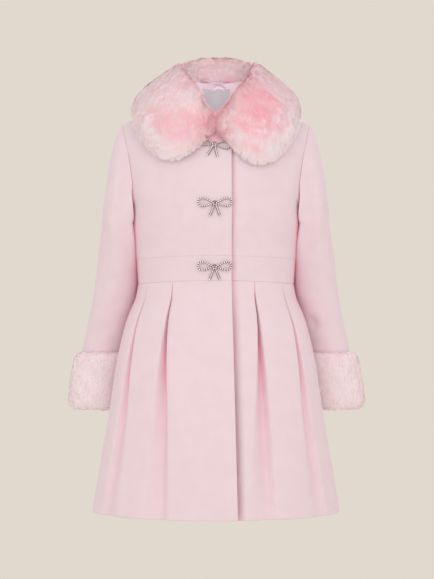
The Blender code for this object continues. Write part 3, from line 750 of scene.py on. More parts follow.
below = SKIRT_LONG * near_edges(104, 0.0035, 0.004)[:, None]
down = below[:, 0]
lap_edge = np.arcsin(lap_x(down) / smooth(-BAND_BOTTOM_Z + down, SKIRT["drop"], SKIRT["half_width"]))
hip_turn = np.pi / 2 - SEAM / 110 + 0 * down
for packed, start, end, chosen, sides, wide, area in (
    ("skirt_front_right", -hip_turn, lap_edge, (0, 1), (SEWN, TURNED), 0.40, 0.100),
    ("skirt_front_left", -lap_edge, hip_turn, (2, 3), (TURNED, SEWN), 0.40, 0.100),
    ("skirt_back", np.pi - hip_turn, np.pi + hip_turn, (4, 5, 6, 7), (SEWN, SEWN), 0.66, 0.175),
):
    angle = pleat_columns(down, start, end, chosen)
    points, out, fold = skirt_panel(angle, below, chosen)
    # Painted shade: deeper pink at the sides near the sleeves, and on the left front beside the lap's edge.
    at_side = np.clip((np.abs(np.sin(angle)) - 0.93) / 0.07, 0, 1)
    fold = np.maximum(fold, at_side * np.interp(below, (0, 90, 150), (0.3, 0.15, 0.0)))
    if packed == "skirt_front_left":
        fold = np.maximum(fold, LAP_SHADE * lap_ease(points, lap_x(below), SKIRT_LAP_MM / 2))
        recess = CLOTH + LAP_GAP + smooth(below, LAP_RUN["below"], LAP_RUN["recess"])
        points = under_lap(points, lap_x(below), recess + 0 * angle, SKIRT_LAP_MM)
    if packed == "skirt_back":
        points[:, [0, -1], 1] += SEAM
    rows = BACK_SKIRT_CREASES if packed == "skirt_back" else FRONT_SKIRT_CREASES
    points = pressed(points, creases(points, rows), out)
    if packed == "skirt_front_right":
        points = points + out * lap_lift(points[..., 0] - lap_x(below))[..., None]
    skins = cloth_skins(points, out, (*sides, SEWN, TURNED), facing=HEM_FACING)
    skirt = wool_panel(packed, [skins], [fold])

# %% [markdown]
# ## Sleeve form
# Each sleeve is a tube of ovals that bends forward and outward a little. Its head starts on the armhole
# seam and runs into the first full oval along a Hermite curve, which leaves the seam outwards, as
# eased-in cloth does, and arrives straight down. The inner side is pressed to the body, and its front
# rolls over the hollow that would otherwise show below the armhole.

# %% Sleeve form
SLEEVE = table(
    "drop centre_x centre_y half_width half_depth",
    (190, 150.4, 12, 21.2, 48), (230, 149.5, 22, 28.5, 46), (284, 151.0, 34, 34.5, 43),
    (336, 159.5, 44, 35.0, 40), (377, 168.5, 51, 35.0, 37), (420, 175.5, 57, 33.0, 34),
    (462, 181.0, 60, 31.0, 32),
)


def over_hollow(turn):
    """A bell round the sleeve's front inner side."""
    return bell(turn - 2.35, 0.32)


def sleeve_ring(turn, drop):
    """An oval of the left sleeve: turn 0 is its outer side and 90 degrees its front."""
    column = {name: smooth(drop, SLEEVE["drop"], SLEEVE[name]) for name in SLEEVE}
    x = column["centre_x"] + column["half_width"] * np.cos(turn)
    y = column["centre_y"] - column["half_depth"] * np.sin(turn)
    near_body = np.interp(drop, (190, 200, 260, 300), (3.4, 3.4, 2.0, 0.0))
    near_body = near_body * np.clip(-np.cos(turn), 0, 1) ** 2
    full = np.interp(drop, (190, 250, 300, 330), (5.0, 5.0, 3.0, 0.0)) * bell(turn - 2.3, 0.45)
    rolled = over_hollow(turn) * np.interp(drop, (190, 215, 260), (1.0, 0.8, 0.0))
    return np.stack([x - near_body - full - 5 * rolled, y - 10 * rolled, -drop + 0 * turn], -1)


def armhole_loop(turn):
    """The left armhole seam, from the shoulder point round by the front."""
    q = UNDERARM_SHARE + (1 - UNDERARM_SHARE) * (0.5 * (1 + np.cos(turn))) ** 0.8
    front, rear = (form(*outer_edge(q, face), face) for face in (-1, 1))
    return np.where((np.sin(turn) >= 0)[:, None], front, rear)


def sleeve_cap(turn, share):
    """The head: a Hermite curve from the seam to the first oval for every turn."""
    start = armhole_loop(turn)
    end = sleeve_ring(turn, np.full_like(turn, SLEEVE["drop"][0]))
    top = 0.5 * (1 + np.cos(turn))
    leave = np.stack([7 + 38 * top, -3 * np.sin(turn), -10 - 16 * top], -1)
    long = np.linalg.norm(end - start, axis=-1)[:, None]
    arrive = np.stack([0.06 + 0 * turn, 0.12 + 0 * turn, -1 + 0 * turn], -1) * long * 0.9
    moved = start + np.stack([0.05 + 0 * top, 0 * top, -0.03 * top], -1)
    s = share[:, None, None]
    rolled = 4 * s * (1 - s) * over_hollow(turn)[:, None] * np.array((-3.0, -5.0, 0.0))
    first = (1 - s) ** 2 * ((1 + 2 * s) * moved + s * leave)
    return rolled + first + s**2 * ((3 - 2 * s) * end + (s - 1) * arrive)


around = np.linspace(0, 2 * np.pi, 128, endpoint=False)
head = sleeve_cap(around, np.concatenate([[0, 0.0025, 0.008, 0.02], np.linspace(0.05, 0.97, 34)]))
drops = np.concatenate([np.linspace(190, 460.8, 66), [461.5, 461.87, 462]])[:, None]
arm = np.concatenate([head, sleeve_ring(around + 0 * drops, drops)])
print("sleeve grid", arm.shape[:2])

# %% [markdown]
# ## Sleeves
# The two sleeves are mirrored tubes with creases of their own at the front, where the picture shows them,
# and similar ones behind.

# %% Sleeves
LEFT_FRONT_SLEEVE = (
    (133, -74, 129, -112, 8, 1.8, 2), (146, -84, 150, -150, 9, -1.6, -2), (139, -168, 128, -222, 9, 2.0, 3),
    (158, -150, 166, -262, 12, 1.6, -3), (141, -330, 150, -348, 6, 3.2, -1),
    (150, -318, 166, -342, 9, -1.6, 1), (146, -286, 158, -300, 8, 1.4, 2),
    (186, -250, 192, -350, 11, 1.2, 0),
)
RIGHT_FRONT_SLEEVE = (
    (-130, -70, -128, -140, 9, 2.0, -2), (-144, -90, -146, -170, 10, -1.5, 2),
    (-160, -190, -166, -300, 13, 1.9, 3), (-146, -180, -142, -280, 12, -1.8, 0),
    (-184, -220, -192, -330, 11, 1.3, 0), (-144, -300, -156, -318, 8, 1.5, -2),
    (-152, -344, -178, -352, 7, 1.1, 1),
)
SLEEVE_BACK = (
    (128, -90, 134, -180, 10, 2.0, 2), (156, -170, 164, -290, 13, 1.8, -3),
    (140, -262, 160, -292, 8, 2.2, 2), (146, -300, 168, -318, 8, 1.8, -2),
    (182, -230, 190, -340, 11, 1.3, 0),
)
facing_front = np.clip(0.5 + 1.5 * np.sin(around), 0, 1)[None, :]
# Painted shade: deeper pink on each sleeve's inner side, where it hangs by the body.
body_side_shade = np.clip((-np.cos(around) - 0.74) / 0.2, 0, 1)
body_side_shade = body_side_shade * np.interp(-arm[..., 2], (110, 180, 350, 390), (0, 0.6, 0.5, 0))
for packed, side, rows in (("sleeve_left", 1, LEFT_FRONT_SLEEVE), ("sleeve_right", -1, RIGHT_FRONT_SLEEVE)):
    points = arm * (side, 1, 1)
    rear_rows = np.array(SLEEVE_BACK) * (side, 1, side, 1, 1, 1, side)
    deep = creases(points, rows) * facing_front + creases(points, rear_rows) * (1 - facing_front)
    out = rings_out(points)
    points = pressed(points, deep, out, 20.0, closed=True)
    skins = cloth_skins(points, out, (None, None, SEWN, TURNED), closed=True)
    sleeve = wool_panel(packed, [skins], [body_side_shade])

# %% [markdown]
# ## Fur
# The collar and cuffs are faux fur: a knitted backing with a dense pile of soft acrylic fibres. Hair
# particles would not survive an export, so each lock is a thin tapered ribbon in one joined mesh. A
# ribbon's UV map holds its own tint across and the way from root to tip along, and the pile's material
# reads only that. Between the locks a woolly undercoat shows, mottled and flushed in places, its colour
# kept a little darker than the locks' as painted shade of the hollows between tufts.

# %% Fur materials
MOTTLE_MM = 5


def pile_fur():
    """Deeper pink at the root and in the partings, nearly white at the tip."""
    made, tree, shader = blank("faux_fur_pile")
    where = node(tree, "ShaderNodeUVMap", uv_map="OFBake").outputs["UV"]
    parts = node(tree, "ShaderNodeSeparateXYZ", {"Vector": where})
    tones = []
    for root, middle, tip in (("#FDF1F3", "#FEF7F8", "#FFFBFB"), ("#FFB8C3", "#FFC4CD", "#FFD0D7")):
        ramp = node(tree, "ShaderNodeValToRGB", {"Fac": parts.outputs["Y"]})
        stops(ramp, {0.0: root, 0.5: middle, 1.0: tip})
        tones.append(ramp.outputs["Color"])
    tint = node(tree, "ShaderNodeMix", {0: parts.outputs["X"], 6: tones[0], 7: tones[1]}, data_type="RGBA")
    fill(shader, {
        "Base Color": tint.outputs[2], "Roughness": 0.7, "Specular IOR Level": 0.2,
        "Sheen Weight": 0.15, "Sheen Tint": linear("#FFF4F4"),
    })
    return made


def fur_backing():
    """The woolly undercoat: pale to deep pink by the mesh's own tint values, softly mottled, and darker than
    the locks as painted shade.
    """
    made, tree, shader = blank("fur_undercoat")
    place = node(tree, "ShaderNodeTexCoord").outputs["Object"]
    mottled = {"Vector": place, "Scale": per_metre(MOTTLE_MM), "Detail": 4.0}
    mottle = node(tree, "ShaderNodeTexNoise", mottled)
    pink_and_shade = node(tree, "ShaderNodeAttribute", attribute_name="tint")
    centred = {0: mottle.outputs["Fac"], 1: 0.5, 2: -0.25}
    uneven = node(tree, "ShaderNodeMath", centred, operation="MULTIPLY_ADD")
    summed = {0: pink_and_shade.outputs["Fac"], 1: uneven.outputs["Value"]}
    amount = node(tree, "ShaderNodeMath", summed, operation="ADD")
    tone = node(tree, "ShaderNodeValToRGB", {"Fac": amount.outputs["Value"]})
    # Painted shade: both stops are a little darker than the locks' colours, for the hollows between tufts.
    stops(tone, {0.0: "#F4E1E6", 1.0: "#F6AEBB"})
    bumps = {"Height": mottle.outputs["Fac"], "Strength": 0.15, "Distance": 1.0 * MM}
    fill(shader, {
        "Base Color": tone.outputs["Color"], "Normal": node(tree, "ShaderNodeBump", bumps).outputs["Normal"],
        "Roughness": 0.9, "Specular IOR Level": 0.1,
    })
    return made


PILE, UNDERCOAT = pile_fur(), fur_backing()
print("made", PILE.name, UNDERCOAT.name)

# %% [markdown]
# ## Placing the locks
# Locks are scattered by chance, but the same way at every run, evenly over the area of a closed skin. Fur
# falls into tufts, so each lock also finds the nearest of many points spread through space, and all that
# find the same point make one clump.

# %% Scatter helpers
def refine(points, count, closed=False):
    """A grid's first axis read again at count places along a cubic through its rows."""
    if closed:
        wrapped = np.concatenate([points[-3:], points, points[:4]])
        at = np.linspace(0, len(points), count, endpoint=False)
        return smooth(at, np.arange(-3.0, len(points) + 4), wrapped)
    return smooth(np.linspace(0, len(points) - 1, count), np.arange(float(len(points))), points)


def read_grid(grid, u, v):
    """Bilinear value of a grid, closed along its columns, at fractional rows u and columns v."""
    rows, columns = grid.shape[:2]
    r, c = np.minimum(u.astype(int), rows - 2), v.astype(int) % columns
    more = (...,) + (None,) * (grid.ndim - 2)
    a, b = (u - r)[more], (v - np.floor(v))[more]
    d = (c + 1) % columns
    upper, lower = ((1 - b) * grid[row, c] + b * grid[row, d] for row in (r, r + 1))
    return (1 - a) * upper + a * lower


def scatter(skin, weight, count, rng):
    """Fractional rows and columns of random places on a closed grid, spread by area times weight."""
    rolled = np.roll(skin, -1, 1)
    area = np.linalg.norm(np.cross(rolled[:-1] - skin[:-1], skin[1:] - skin[:-1]), axis=-1) * weight[:-1]
    cell = rng.choice(area.size, count, p=area.ravel() / area.sum())
    spread = rng.random((2, count))
    return cell // skin.shape[1] + spread[0], cell % skin.shape[1] + spread[1]


def patches(points, size):
    """Soft patches between -1 and 1: the mean of four sines along slanting directions."""
    ways = np.array(((0.8, 0.3, 0.5), (-0.5, 0.4, 0.75), (0.2, -0.9, 0.4), (0.6, 0.5, -0.65)))
    return np.sin(points @ ways.T * 2 * np.pi / size + 1.7 * np.arange(4)).mean(-1)


def chance(cells, seed):
    """Repeatable numbers from 0 to 1 for whole-number cells, by the fraction of a large sine."""
    mixed = cells @ np.array((12.9898, 78.233, 37.719)) + seed * 17.17
    value = np.sin(mixed) * 43758.5453
    return value - np.floor(value)


def clump_of(points, size):
    """Number of the nearest clump for each point. Clumps sit at jittered places, one in each cube."""
    cells = np.floor(points / size)
    shifts = np.stack(np.meshgrid(*[(-1, 0, 1)] * 3, indexing="ij"), -1).reshape(-1, 3)
    near = cells[:, None] + shifts
    spots = (near + np.stack([chance(near, seed) for seed in (1, 2, 3)], -1)) * size
    best = np.linalg.norm(spots - points[:, None], axis=-1).argmin(1)
    chosen = near[np.arange(len(points)), best]
    return np.unique(chosen, axis=0, return_inverse=True)[1].reshape(-1)


# %% [markdown]
# ## Growing the locks
# A lock starts below the outline of the fur, leans the way the pile is combed, is drawn towards its
# clump's tip and parts along a few listed lines. It is lit by the skin's normal and not by its own,
# which makes the pile look as soft as real fur, where fine fibres pass the light on, and not like a heap
# of foil strips.

# %% Lock helpers
ROOT_DEEP, BEND_AT, BEND_SHARE = 0.3, 0.45, 0.05
CLUMP_TINT, LOCK_TINT, PARTING_TINT = 0.14, 0.1, 0.6
CLUMP_TURN, LOCK_TURN, SLOPE_SPREAD, TWIST_SPREAD, SHADE_TURN = 0.45, 0.3, 0.08, 0.15, 0.05
GATHER, LONG_SHARES, LOCK_WIDE = 0.16, (0.75, 1.15), (0.35, 0.7)


def ribbons(name, root, tip, lift, side, wide, tint, shade):
    """One joined mesh of slim ribbons: a point, a cross line lifted off the straight line, and a point.

    shade is the normal that each ribbon is lit by.
    """
    count = len(root)
    middle = (1 - BEND_AT) * root + BEND_AT * tip + lift
    half_side = 0.5 * wide[:, None] * side
    points = np.stack([root, middle - half_side, middle + half_side, tip], 1)
    corner = np.array((0, 2, 1, 1, 2, 3))
    loops = (corner + 4 * np.arange(count)[:, None]).ravel()
    mesh = bpy.data.meshes.new(name)
    mesh.vertices.add(4 * count)
    mesh.vertices.foreach_set("co", (points * MM).astype(np.float32).ravel())
    mesh.loops.add(len(loops))
    mesh.loops.foreach_set("vertex_index", loops.astype(np.int32))
    mesh.polygons.add(2 * count)
    mesh.polygons.foreach_set("loop_start", np.arange(0, 6 * count, 3, dtype=np.int32))
    mesh.update(calc_edges=True)
    up = np.tile(np.array((0, BEND_AT, BEND_AT, 1.0))[corner], (count, 1))
    where = np.stack([np.repeat(tint[:, None], 6, 1), up], -1)
    mesh.uv_layers.new(name="OFBake").data.foreach_set("uv", where.astype(np.float32).ravel())
    mesh.shade_smooth()
    mesh.normals_split_custom_set_from_vertices(np.repeat(shade, 4, 0).tolist())
    mesh.materials.append(PILE)
    print(name, count, "locks")
    return settle(name, mesh)


def pile(name, skin, comb, weight, depth, count, long, size, rng, tints, slopes, partings=()):
    """Locks on a closed skin: rooted below it, leaning along comb, drawn together in clumps.

    A lock's direction is the normal and the comb direction mixed, with each clump's own turn added. Near a
    parting it is turned away from the parting's line and tinted deeper. long is its length, size that of a
    clump, tints how deep its pink is and slopes how far it leans from the normal, in radians.
    """
    normals = rings_out(skin)
    u, v = scatter(skin, weight, count, rng)
    place, normal, lean = (read_grid(grid, u, v) for grid in (skin, unit(normals), comb))
    normal = unit(normal)
    root = place - normal * (read_grid(depth, u, v)[:, None] + ROOT_DEEP)
    clump = clump_of(place, size)
    number = clump.max() + 1
    turn = rng.normal(0, 1, (number, 3))[clump]
    tint = read_grid(tints, u, v) + CLUMP_TINT * (rng.random(number)[clump] - 0.5)
    tint = tint + LOCK_TINT * (rng.random(count) - 0.5)
    aside = np.zeros((count, 3))
    for x0, z0, x1, z1, wide, strength in partings:
        run = unit(np.array((x1 - x0, 0.0, z1 - z0)))
        square = np.array((run[2], 0, -run[0]))
        along = (place - (x0, 0, z0)) @ run / np.hypot(x1 - x0, z1 - z0)
        off = (place - (x0, 0, z0)) @ square
        past_end = np.clip(np.abs(along - 0.5) - 0.5, 0, 9)
        near = bell(off, wide) * bell(past_end * 6, 1) * (place[:, 1] < 0)
        aside += (strength * near * np.sign(off))[:, None] * square
        tint = tint + PARTING_TINT * near * strength
    lean = lean + CLUMP_TURN * turn + aside + LOCK_TURN * rng.normal(0, 1, (count, 3))
    lean = unit(lean - normal * (lean * normal).sum(1, keepdims=True))
    slope = (read_grid(slopes, u, v) + rng.normal(0, SLOPE_SPREAD, count))[:, None]
    heading = normal * np.cos(slope) + lean * np.sin(slope)
    reach = read_grid(long, u, v) * rng.uniform(*LONG_SHARES, count)
    tip = root + heading * reach[:, None]
    members = np.bincount(clump, minlength=number)[:, None]
    clump_tip = np.stack([np.bincount(clump, tip[:, i], number) for i in range(3)], -1) / members
    tip = tip + GATHER * (clump_tip[clump] - tip)
    twist = rng.normal(0, TWIST_SPREAD, count)[:, None]
    across = unit(np.cross(heading, normal))
    side = across * np.cos(twist) + np.cross(heading, across) * np.sin(twist)
    side = side * np.sign((np.cross(side, tip - root) * normal).sum(1, keepdims=True))
    wide = rng.uniform(*LOCK_WIDE, count)
    lift = normal * (BEND_SHARE * reach)[:, None]
    shade = unit(normal + SHADE_TURN * turn)
    return ribbons(name, root, tip, lift, side, wide, np.clip(tint, 0, 1), shade)


# %% [markdown]
# ## Fur collar
# The collar is a roll that stands at the back of the neck and falls into two round lobes at the front.
# Its sections, from the neck edge over the top to the rim and back underneath, are worked out on the form
# at each place along the neckline and joined by cubics.

# %% Collar sections
COLLAR = table(
    "neck_x rim_x rim_z height lift",
    (3, 7, -56, 6, 5.0), (11, 18, -74, 17, 5.0), (19, 32, -92, 27, 4.5), (27, 48, -103, 34, 4.0),
    (35, 66, -105, 39, 3.0), (41, 84, -97, 43, 2.5), (46, 101, -77, 46, 2.7), (50, 114, -52, 48, 3.0),
    (52, 118, -33, 50, 4.4), (49, 112, -49, 51, 4.2), (42, 96, -57, 50.5, 3.2), (26, 56, -62, 47, 3.2),
    (0, 0, -63, 40, 3.2),
)
COLLAR_SIDE_ROW = 8
COLLAR_SECTION = table(
    "along height beyond",
    (0.00, 0.10, 0), (0.00, 0.50, -3), (0.00, 0.86, -1), (0.13, 1.00, 0), (0.36, 0.87, 0), (0.64, 0.74, 0),
    (0.86, 0.54, 2), (0.98, 0.32, 4), (1.00, 0.12, 4), (0.95, 0.00, 0), (0.66, 0.00, 0), (0.33, 0.00, 0),
)
ROWS, ROUND = 260, 96


def collar_section(at):
    """Closed section at a row of the table: feet on the form, raised along a leaning direction."""
    rows = np.arange(len(COLLAR["neck_x"]), dtype=float)
    neck_x, rim_x, rim_z, height, lift = (smooth(at, rows, COLLAR[name]) for name in COLLAR)
    along, share, beyond = (COLLAR_SECTION[name] for name in COLLAR_SECTION)
    face = 1 if at > COLLAR_SIDE_ROW else -1
    x = neck_x + (rim_x - neck_x) * along
    top = neck_z(neck_x, face)
    z = np.minimum(top + (rim_z - top) * along, ridge_z(x))
    base, normal = form(x, z, face), form_normals(x, z, face)
    lean = (0.25 + 0.45 * along)[:, None]
    rise = unit(normal * lean + np.array((0, 0, 1.0)) * (1 - lean))
    out = unit(base[-4] - base[0])
    return base + normal * lift + rise * (height * share)[:, None] + out * beyond[:, None]


def there_and_back(values):
    """Values for the right half, then for the left half in the other order, with the middle one once."""
    return np.concatenate([values, values[-2::-1]])


marks = np.union1d(np.arange(0, 6), np.arange(6, 12.1, 0.5))
half_collar = np.stack([collar_section(at) for at in marks])
whole = np.concatenate([half_collar * (-1, 1, 1), half_collar[-2::-1]])
skin = np.swapaxes(refine(np.swapaxes(refine(whole, ROWS), 0, 1), ROUND, closed=True), 0, 1)
heights = refine(there_and_back(smooth(marks, np.arange(13.0), COLLAR["height"])), ROWS)[:, None]
along_half = refine(there_and_back(marks), ROWS)[:, None]
turns = np.arange(ROUND) / ROUND * len(COLLAR_SECTION["along"])
print("collar grid", skin.shape[:2])

# %% [markdown]
# ## Shaping the collar
# A real collar isn't even, so the smooth roll is pushed about where the picture shows it. The skin goes
# in by part of the pile's length. The right lobe's rim is lifted, both lobes roll inwards at the neck,
# the edge of the stand hangs forward at the back, and a running mean softens the bend at the sides.

# %% Collar shape
LOBE_LIFT, RIGHT_ROLL, LEFT_ROLL, SPAN = 5.0, 10.0, 6.0, 12
normals = rings_out(skin)
inset = np.interp(along_half, (0, 2, 6, 8.3, 9.3, 10.2, 12), (0.4, 2.5, 1.0, 1.6, 1.6, 0.5, 0.0))
inset = inset - 1.5 * np.clip(skin[..., 0] / 60, 0, 1)
skin = skin - normals * inset[..., None]
right_rim = np.clip(-skin[..., 0] / 20, 0, 1) * np.clip((-55 - skin[..., 2]) / 40, 0, 1)
skin[..., 2] += LOBE_LIFT * np.clip(-skin[..., 1] / 20, 0, 1) * right_rim
rolled_in = np.interp(turns, (0, 1.5, 2.2, 3.4, 5.5, 12), (0, 0.6, 1, 1, 0, 0))
rolled_right = RIGHT_ROLL * np.interp(along_half, (1.5, 3.5, 7.5, 9.2), (0, 1, 1, 0)) * rolled_in
rolled_left = LEFT_ROLL * bell(along_half - 6.8, 2.0) * rolled_in
skin[..., 0] += np.where(skin[..., 0] < 0, rolled_right, -rolled_left)
hang = np.interp(turns, (0, 1.2, 2.2, 10.8, 11.6, 12), (1, 1, 0, 0, 1, 1))
hang = np.interp(along_half, (8.3, 10.3), (0, 1)) * hang
skin = skin + hang[..., None] * np.array((0, -8.0, -2.0))
longer = np.pad(skin, ((SPAN, SPAN), (0, 0), (0, 0)), "edge")
even = sum(longer[i:i + ROWS] for i in range(2 * SPAN + 1)) / (2 * SPAN + 1)
at_side = np.interp(turns, (0, 2.8, 3.8, 10.5, 11.5, 12), (1, 1, 0, 0, 1, 1))
at_side = bell(along_half - 8.6, 1.1) * at_side
skin = skin + at_side[..., None] * (even - skin)
normals = rings_out(skin)
print("collar from", np.round(skin.min((0, 1))).tolist(), "to", np.round(skin.max((0, 1))).tolist())

# %% [markdown]
# ## Collar undercoat
# Deeper pink is painted in the hollows between tufts as shade, and also at the front ends, where the
# lobes meet, and along the stand's lower edge. The picture's flushed places are set as round spots. The
# undercoat is the skin, moved in a little and closed at its ends.

# %% Collar undercoat
PILE_DEPTH = 1.6
# Each spot's x, z, radius and depth of pink.
SPOTS = (
    (-50, -40, 40, 0.16), (-76, -33, 16, 0.18), (-26, -42, 20, 0.2), (-46, -56, 22, 0.16),
    (58, -20, 44, 0.24), (59, 12, 15, 0.26), (43, -9, 13, 0.3), (72, -21, 17, 0.3), (60, -34, 15, 0.28),
    (55, -76, 14, 0.16),
)


def pointed(rings):
    """Rings of points with one more at each end, drawn together to the middle of the end ring."""
    ends = [np.repeat(ring.mean(0)[None, None], rings.shape[1], 1) for ring in (rings[0], rings[-1])]
    return np.concatenate([ends[0], rings, ends[1]])


def undercoat(name, skin, normals, depth, tint, replaces):
    """A closed fur body: the skin moved in by depth, its ends drawn to a point or joined where they meet."""
    inner = skin - normals * depth[..., None]
    if not np.allclose(inner[0], inner[-1], atol=0.01):
        inner = pointed(inner)
        tint = np.concatenate([tint[:1], tint, tint[-1:]])
        normals = np.concatenate([normals[:1], normals, normals[-1:]])
    index = np.arange(inner[..., 0].size).reshape(inner.shape[:2])
    outside = (grid_normals(inner[1:-1], True) * normals[1:-1]).sum() > 0
    faces = quads(index, True, not outside)
    part = (inner.reshape(-1, 3), faces, np.zeros(len(faces)))
    made = piece(name, [part], [UNDERCOAT], replaces, tint)


row_number = np.arange(ROWS)
near_end = bell(np.minimum(row_number, ROWS - 1 - row_number), 9)[:, None]
# Painted shade mask along the stand's lower edge.
stand_edge_shade = hang * np.interp(skin[..., 2], (28, 36), (1, 0))
spots = sum(deep * bell(np.hypot(skin[..., 0] - x, skin[..., 2] - z), wide) for x, z, wide, deep in SPOTS)
neck_to_rim = np.interp(turns, (0, 2, 3, 6, 7.5, 9), (0.2, 0.16, 0.05, 0, -0.1, -0.08))
pink_and_shade = 0.23 + spots * (skin[..., 1] < 0) + 0.14 * patches(skin, 30) + neck_to_rim
# Painted shade: deeper pink at the front ends, where the lobes meet, and along the stand's lower edge.
pink_and_shade = np.clip(pink_and_shade + 0.7 * near_end + 0.45 * stand_edge_shade, 0, 1)
skin_depth = np.clip(0.05 * heights, 0.5, PILE_DEPTH) + 0 * pink_and_shade
undercoat("collar_undercoat", skin, normals, skin_depth, pink_and_shade, ["collar_fur"])

# %% [markdown]
# ## Collar pile
# The pile is combed from the neck over the roll towards the rim, and it droops. At the two front ends the
# locks are longer and stand up to meet across the gap. Few are needed underneath, where the collar lies
# on the coat, and none below the edge of the stand, where the lining begins.

# %% Collar pile
PILE_LONG, END_LONG, LEAN, STAND_EDGE_Z, COLLAR_LOCKS, TUFT_MM = 10.5, 13, 1.5, 28.0, 60000, 10.0
# Each parting's x0, z0, x1, z1, width and strength.
PARTINGS = (
    (62, -20, 70, -48, 5, 0.8), (48, -6, 74, 0, 5, 0.7), (34, -26, 52, -28, 5, 0.8),
    (28, -40, 66, -62, 5, 0.9), (68, -42, 94, -50, 6, 0.6), (40, -74, 60, -84, 5, 0.6),
    (78, -6, 90, -20, 5, 0.6), (-84, -44, -76, -58, 6, 0.5), (-30, -32, -18, -44, 7, 0.5),
    (-66, -34, -60, -62, 9, 0.3), (-46, -22, -40, -34, 7, 0.3), (-92, -20, -84, -34, 8, 0.25),
)
comb = unit(round_ring(skin))
downwards = np.interp(turns, (0, 2, 3, 12), (-1.6, -1.5, 0, 0)) * np.interp(along_half, (7.5, 9.5), (0, 1))
droop = np.array((0, 0, -0.35)) * np.interp(turns, (2, 3.5), (0, 1))[:, None]
comb = comb * (1 + downwards)[..., None] + droop
inwards = np.stack([-np.sign(skin[..., 0]), 0 * pink_and_shade - 0.2, 0 * pink_and_shade - 0.25], -1)
comb = unit(unit(comb) * (1 - 0.8 * near_end)[..., None] + inwards * near_end[..., None])
comb = unit(comb + hang[..., None] * np.array((0, -0.3, -1.2)))
over_crest = bell(turns - 2.4, 0.7) * np.interp(along_half, (5.0, 7.0), (0.6, 0.0))
slopes = LEAN - 0.5 * near_end - over_crest * (1 - near_end) - 0.25 * hang
long = np.clip(0.5 * heights, 5, PILE_LONG) * np.interp(turns, (0, 1, 2.5, 3.5, 12), (0.5, 0.6, 0.9, 1, 1))
long = np.maximum(long, END_LONG * near_end)
show = np.interp(turns, (0, 0.4, 1, 8.8, 9.3, 9.8, 12), (0.5, 0.9, 1.0, 1.0, 0.6, 0.1, 0.1))
bare = (hang > 0) & (skin[..., 2] < STAND_EDGE_Z) & (np.abs(skin[..., 0]) < 40)
show = (show * (1 + 4 * near_end) + 1.5 * hang) * np.where(bare, 0, 1)
rng = np.random.default_rng(31)
right_half = row_number[:, None] < ROWS // 2
# The locks take the same pink, with its painted shade, as the undercoat.
locks = (COLLAR_LOCKS, long, TUFT_MM, rng, pink_and_shade, slopes, PARTINGS)
for name, here in (("collar_pile_right", right_half), ("collar_pile_left", ~right_half)):
    lock = pile(name, skin, comb, show * here, skin_depth, *locks)
    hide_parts("collar_fur")

# %% [markdown]
# ## Fur cuffs
# A band of the same fur, with a shorter pile, goes round each wrist. Its section is a rounded strip whose
# reach beyond the sleeve is given at a few heights. The outer side flares a little towards the hand, the
# left more than the right.

# %% Cuffs
CUFF = table(
    "drop reach",
    (388, 0.5), (384, 8.0), (390, 13.5), (407, 15.0), (440, 15.0), (462, 13.5), (470, 8.0), (468, 0.5),
    (430, 0.5),
)
CUFF_DEPTH, CUFF_LONG, CUFF_LEAN, CUFF_ROUND, CUFF_LOCKS, CUFF_TUFT_MM = 1.2, 8.0, 1.47, 60, 14000, 6.0
ring_turn = np.linspace(0, 2 * np.pi, 150)[:, None]
profile = refine(np.stack([CUFF["drop"], CUFF["reach"]], -1), CUFF_ROUND, closed=True)
cuff_skin = sleeve_ring(ring_turn, profile[:, 0] + 0 * ring_turn)
cuff_middle = [smooth(profile[:, 0], SLEEVE["drop"], SLEEVE[name]) for name in ("centre_x", "centre_y")]
away = unit(cuff_skin[..., :2] - np.stack(cuff_middle, -1))
cuff_skin[..., :2] += away * np.clip(profile[:, 1:] - 1.5, 0.3, None)
cuff_turn = np.arange(CUFF_ROUND) / CUFF_ROUND * len(CUFF["drop"]) + 0 * ring_turn
cuff_show = np.interp(cuff_turn, (0, 0.6, 6.2, 7, 7.6, 9), (0.4, 1, 1, 0.5, 0.08, 0.08))
thick = np.interp(cuff_turn, (0, 1, 6, 7, 9), (0.2, CUFF_DEPTH, CUFF_DEPTH, 0.2, 0.1))
reach = CUFF_LONG * np.interp(cuff_turn, (0, 1, 6, 7, 9), (0.5, 1, 1, 0.7, 0.3))
slopes = CUFF_LEAN + 0 * thick
outer_side = np.interp(profile[:, 0], (395, 455), (0, 1)) * (profile[:, 1] > 2)
outer_side = np.clip(np.cos(ring_turn), 0, 1) * outer_side
for name, side, flare, warm in (("left", 1, 5.0, 0.12), ("right", -1, 3.0, 0.06)):
    skin = (cuff_skin + (flare * outer_side)[..., None] * np.array((1.0, 0, 0))) * (side, 1, 1)
    normals = rings_out(skin)
    flushed = warm + 0.16 * patches(skin, 17)
    packed = f"cuff_fur_{name}"
    undercoat(f"cuff_undercoat_{name}", skin, normals, thick, 0.4 * flushed, [packed])
    comb = unit(round_ring(skin))
    locks = (CUFF_LOCKS, reach, CUFF_TUFT_MM, rng, flushed, slopes)
    lock = pile(f"cuff_pile_{name}", skin, comb, cuff_show, thick, *locks)
    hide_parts(packed)

# %% [markdown]
# ## Neck lining
# The lining shows behind the neck. Below, it is the back panel's own surface, moved in by the cloth's
# thickness. Above, a facing runs up behind the collar's stand. It leaves the back at the neck seam, and
# there its bend is smoothed by moving each row towards the mean of its neighbours.

# %% Neck lining
THIN_EDGE = (0.4, 0.5, True)
FACING_X, FACING_LOW_Z, SMOOTHINGS = 46.0, -26.0, 24
inside_rows = (rows_q > 0.3) & (rows_q < 0.85)
patch_q = rows_q[inside_rows]
patch = (half - outward(half, BODY_AXIS) * (CLOTH + 0.6))[inside_rows][:, near_edges(44) < 0.36]
linings = []
for side in (1, -1):
    shaped = patch * (side, 1, 1)
    shaped[patch_q < NECK_SHARE, 0, 0] = 0
    out = square_centre(outward(shaped, BODY_AXIS), patch_q)
    neck_edge = (*THIN_EDGE[:2], (patch_q >= NECK_SHARE)[:, None])
    linings.append(cloth_skins(shaped, out, (neck_edge, THIN_EDGE, THIN_EDGE, THIN_EDGE), wall=LINING))

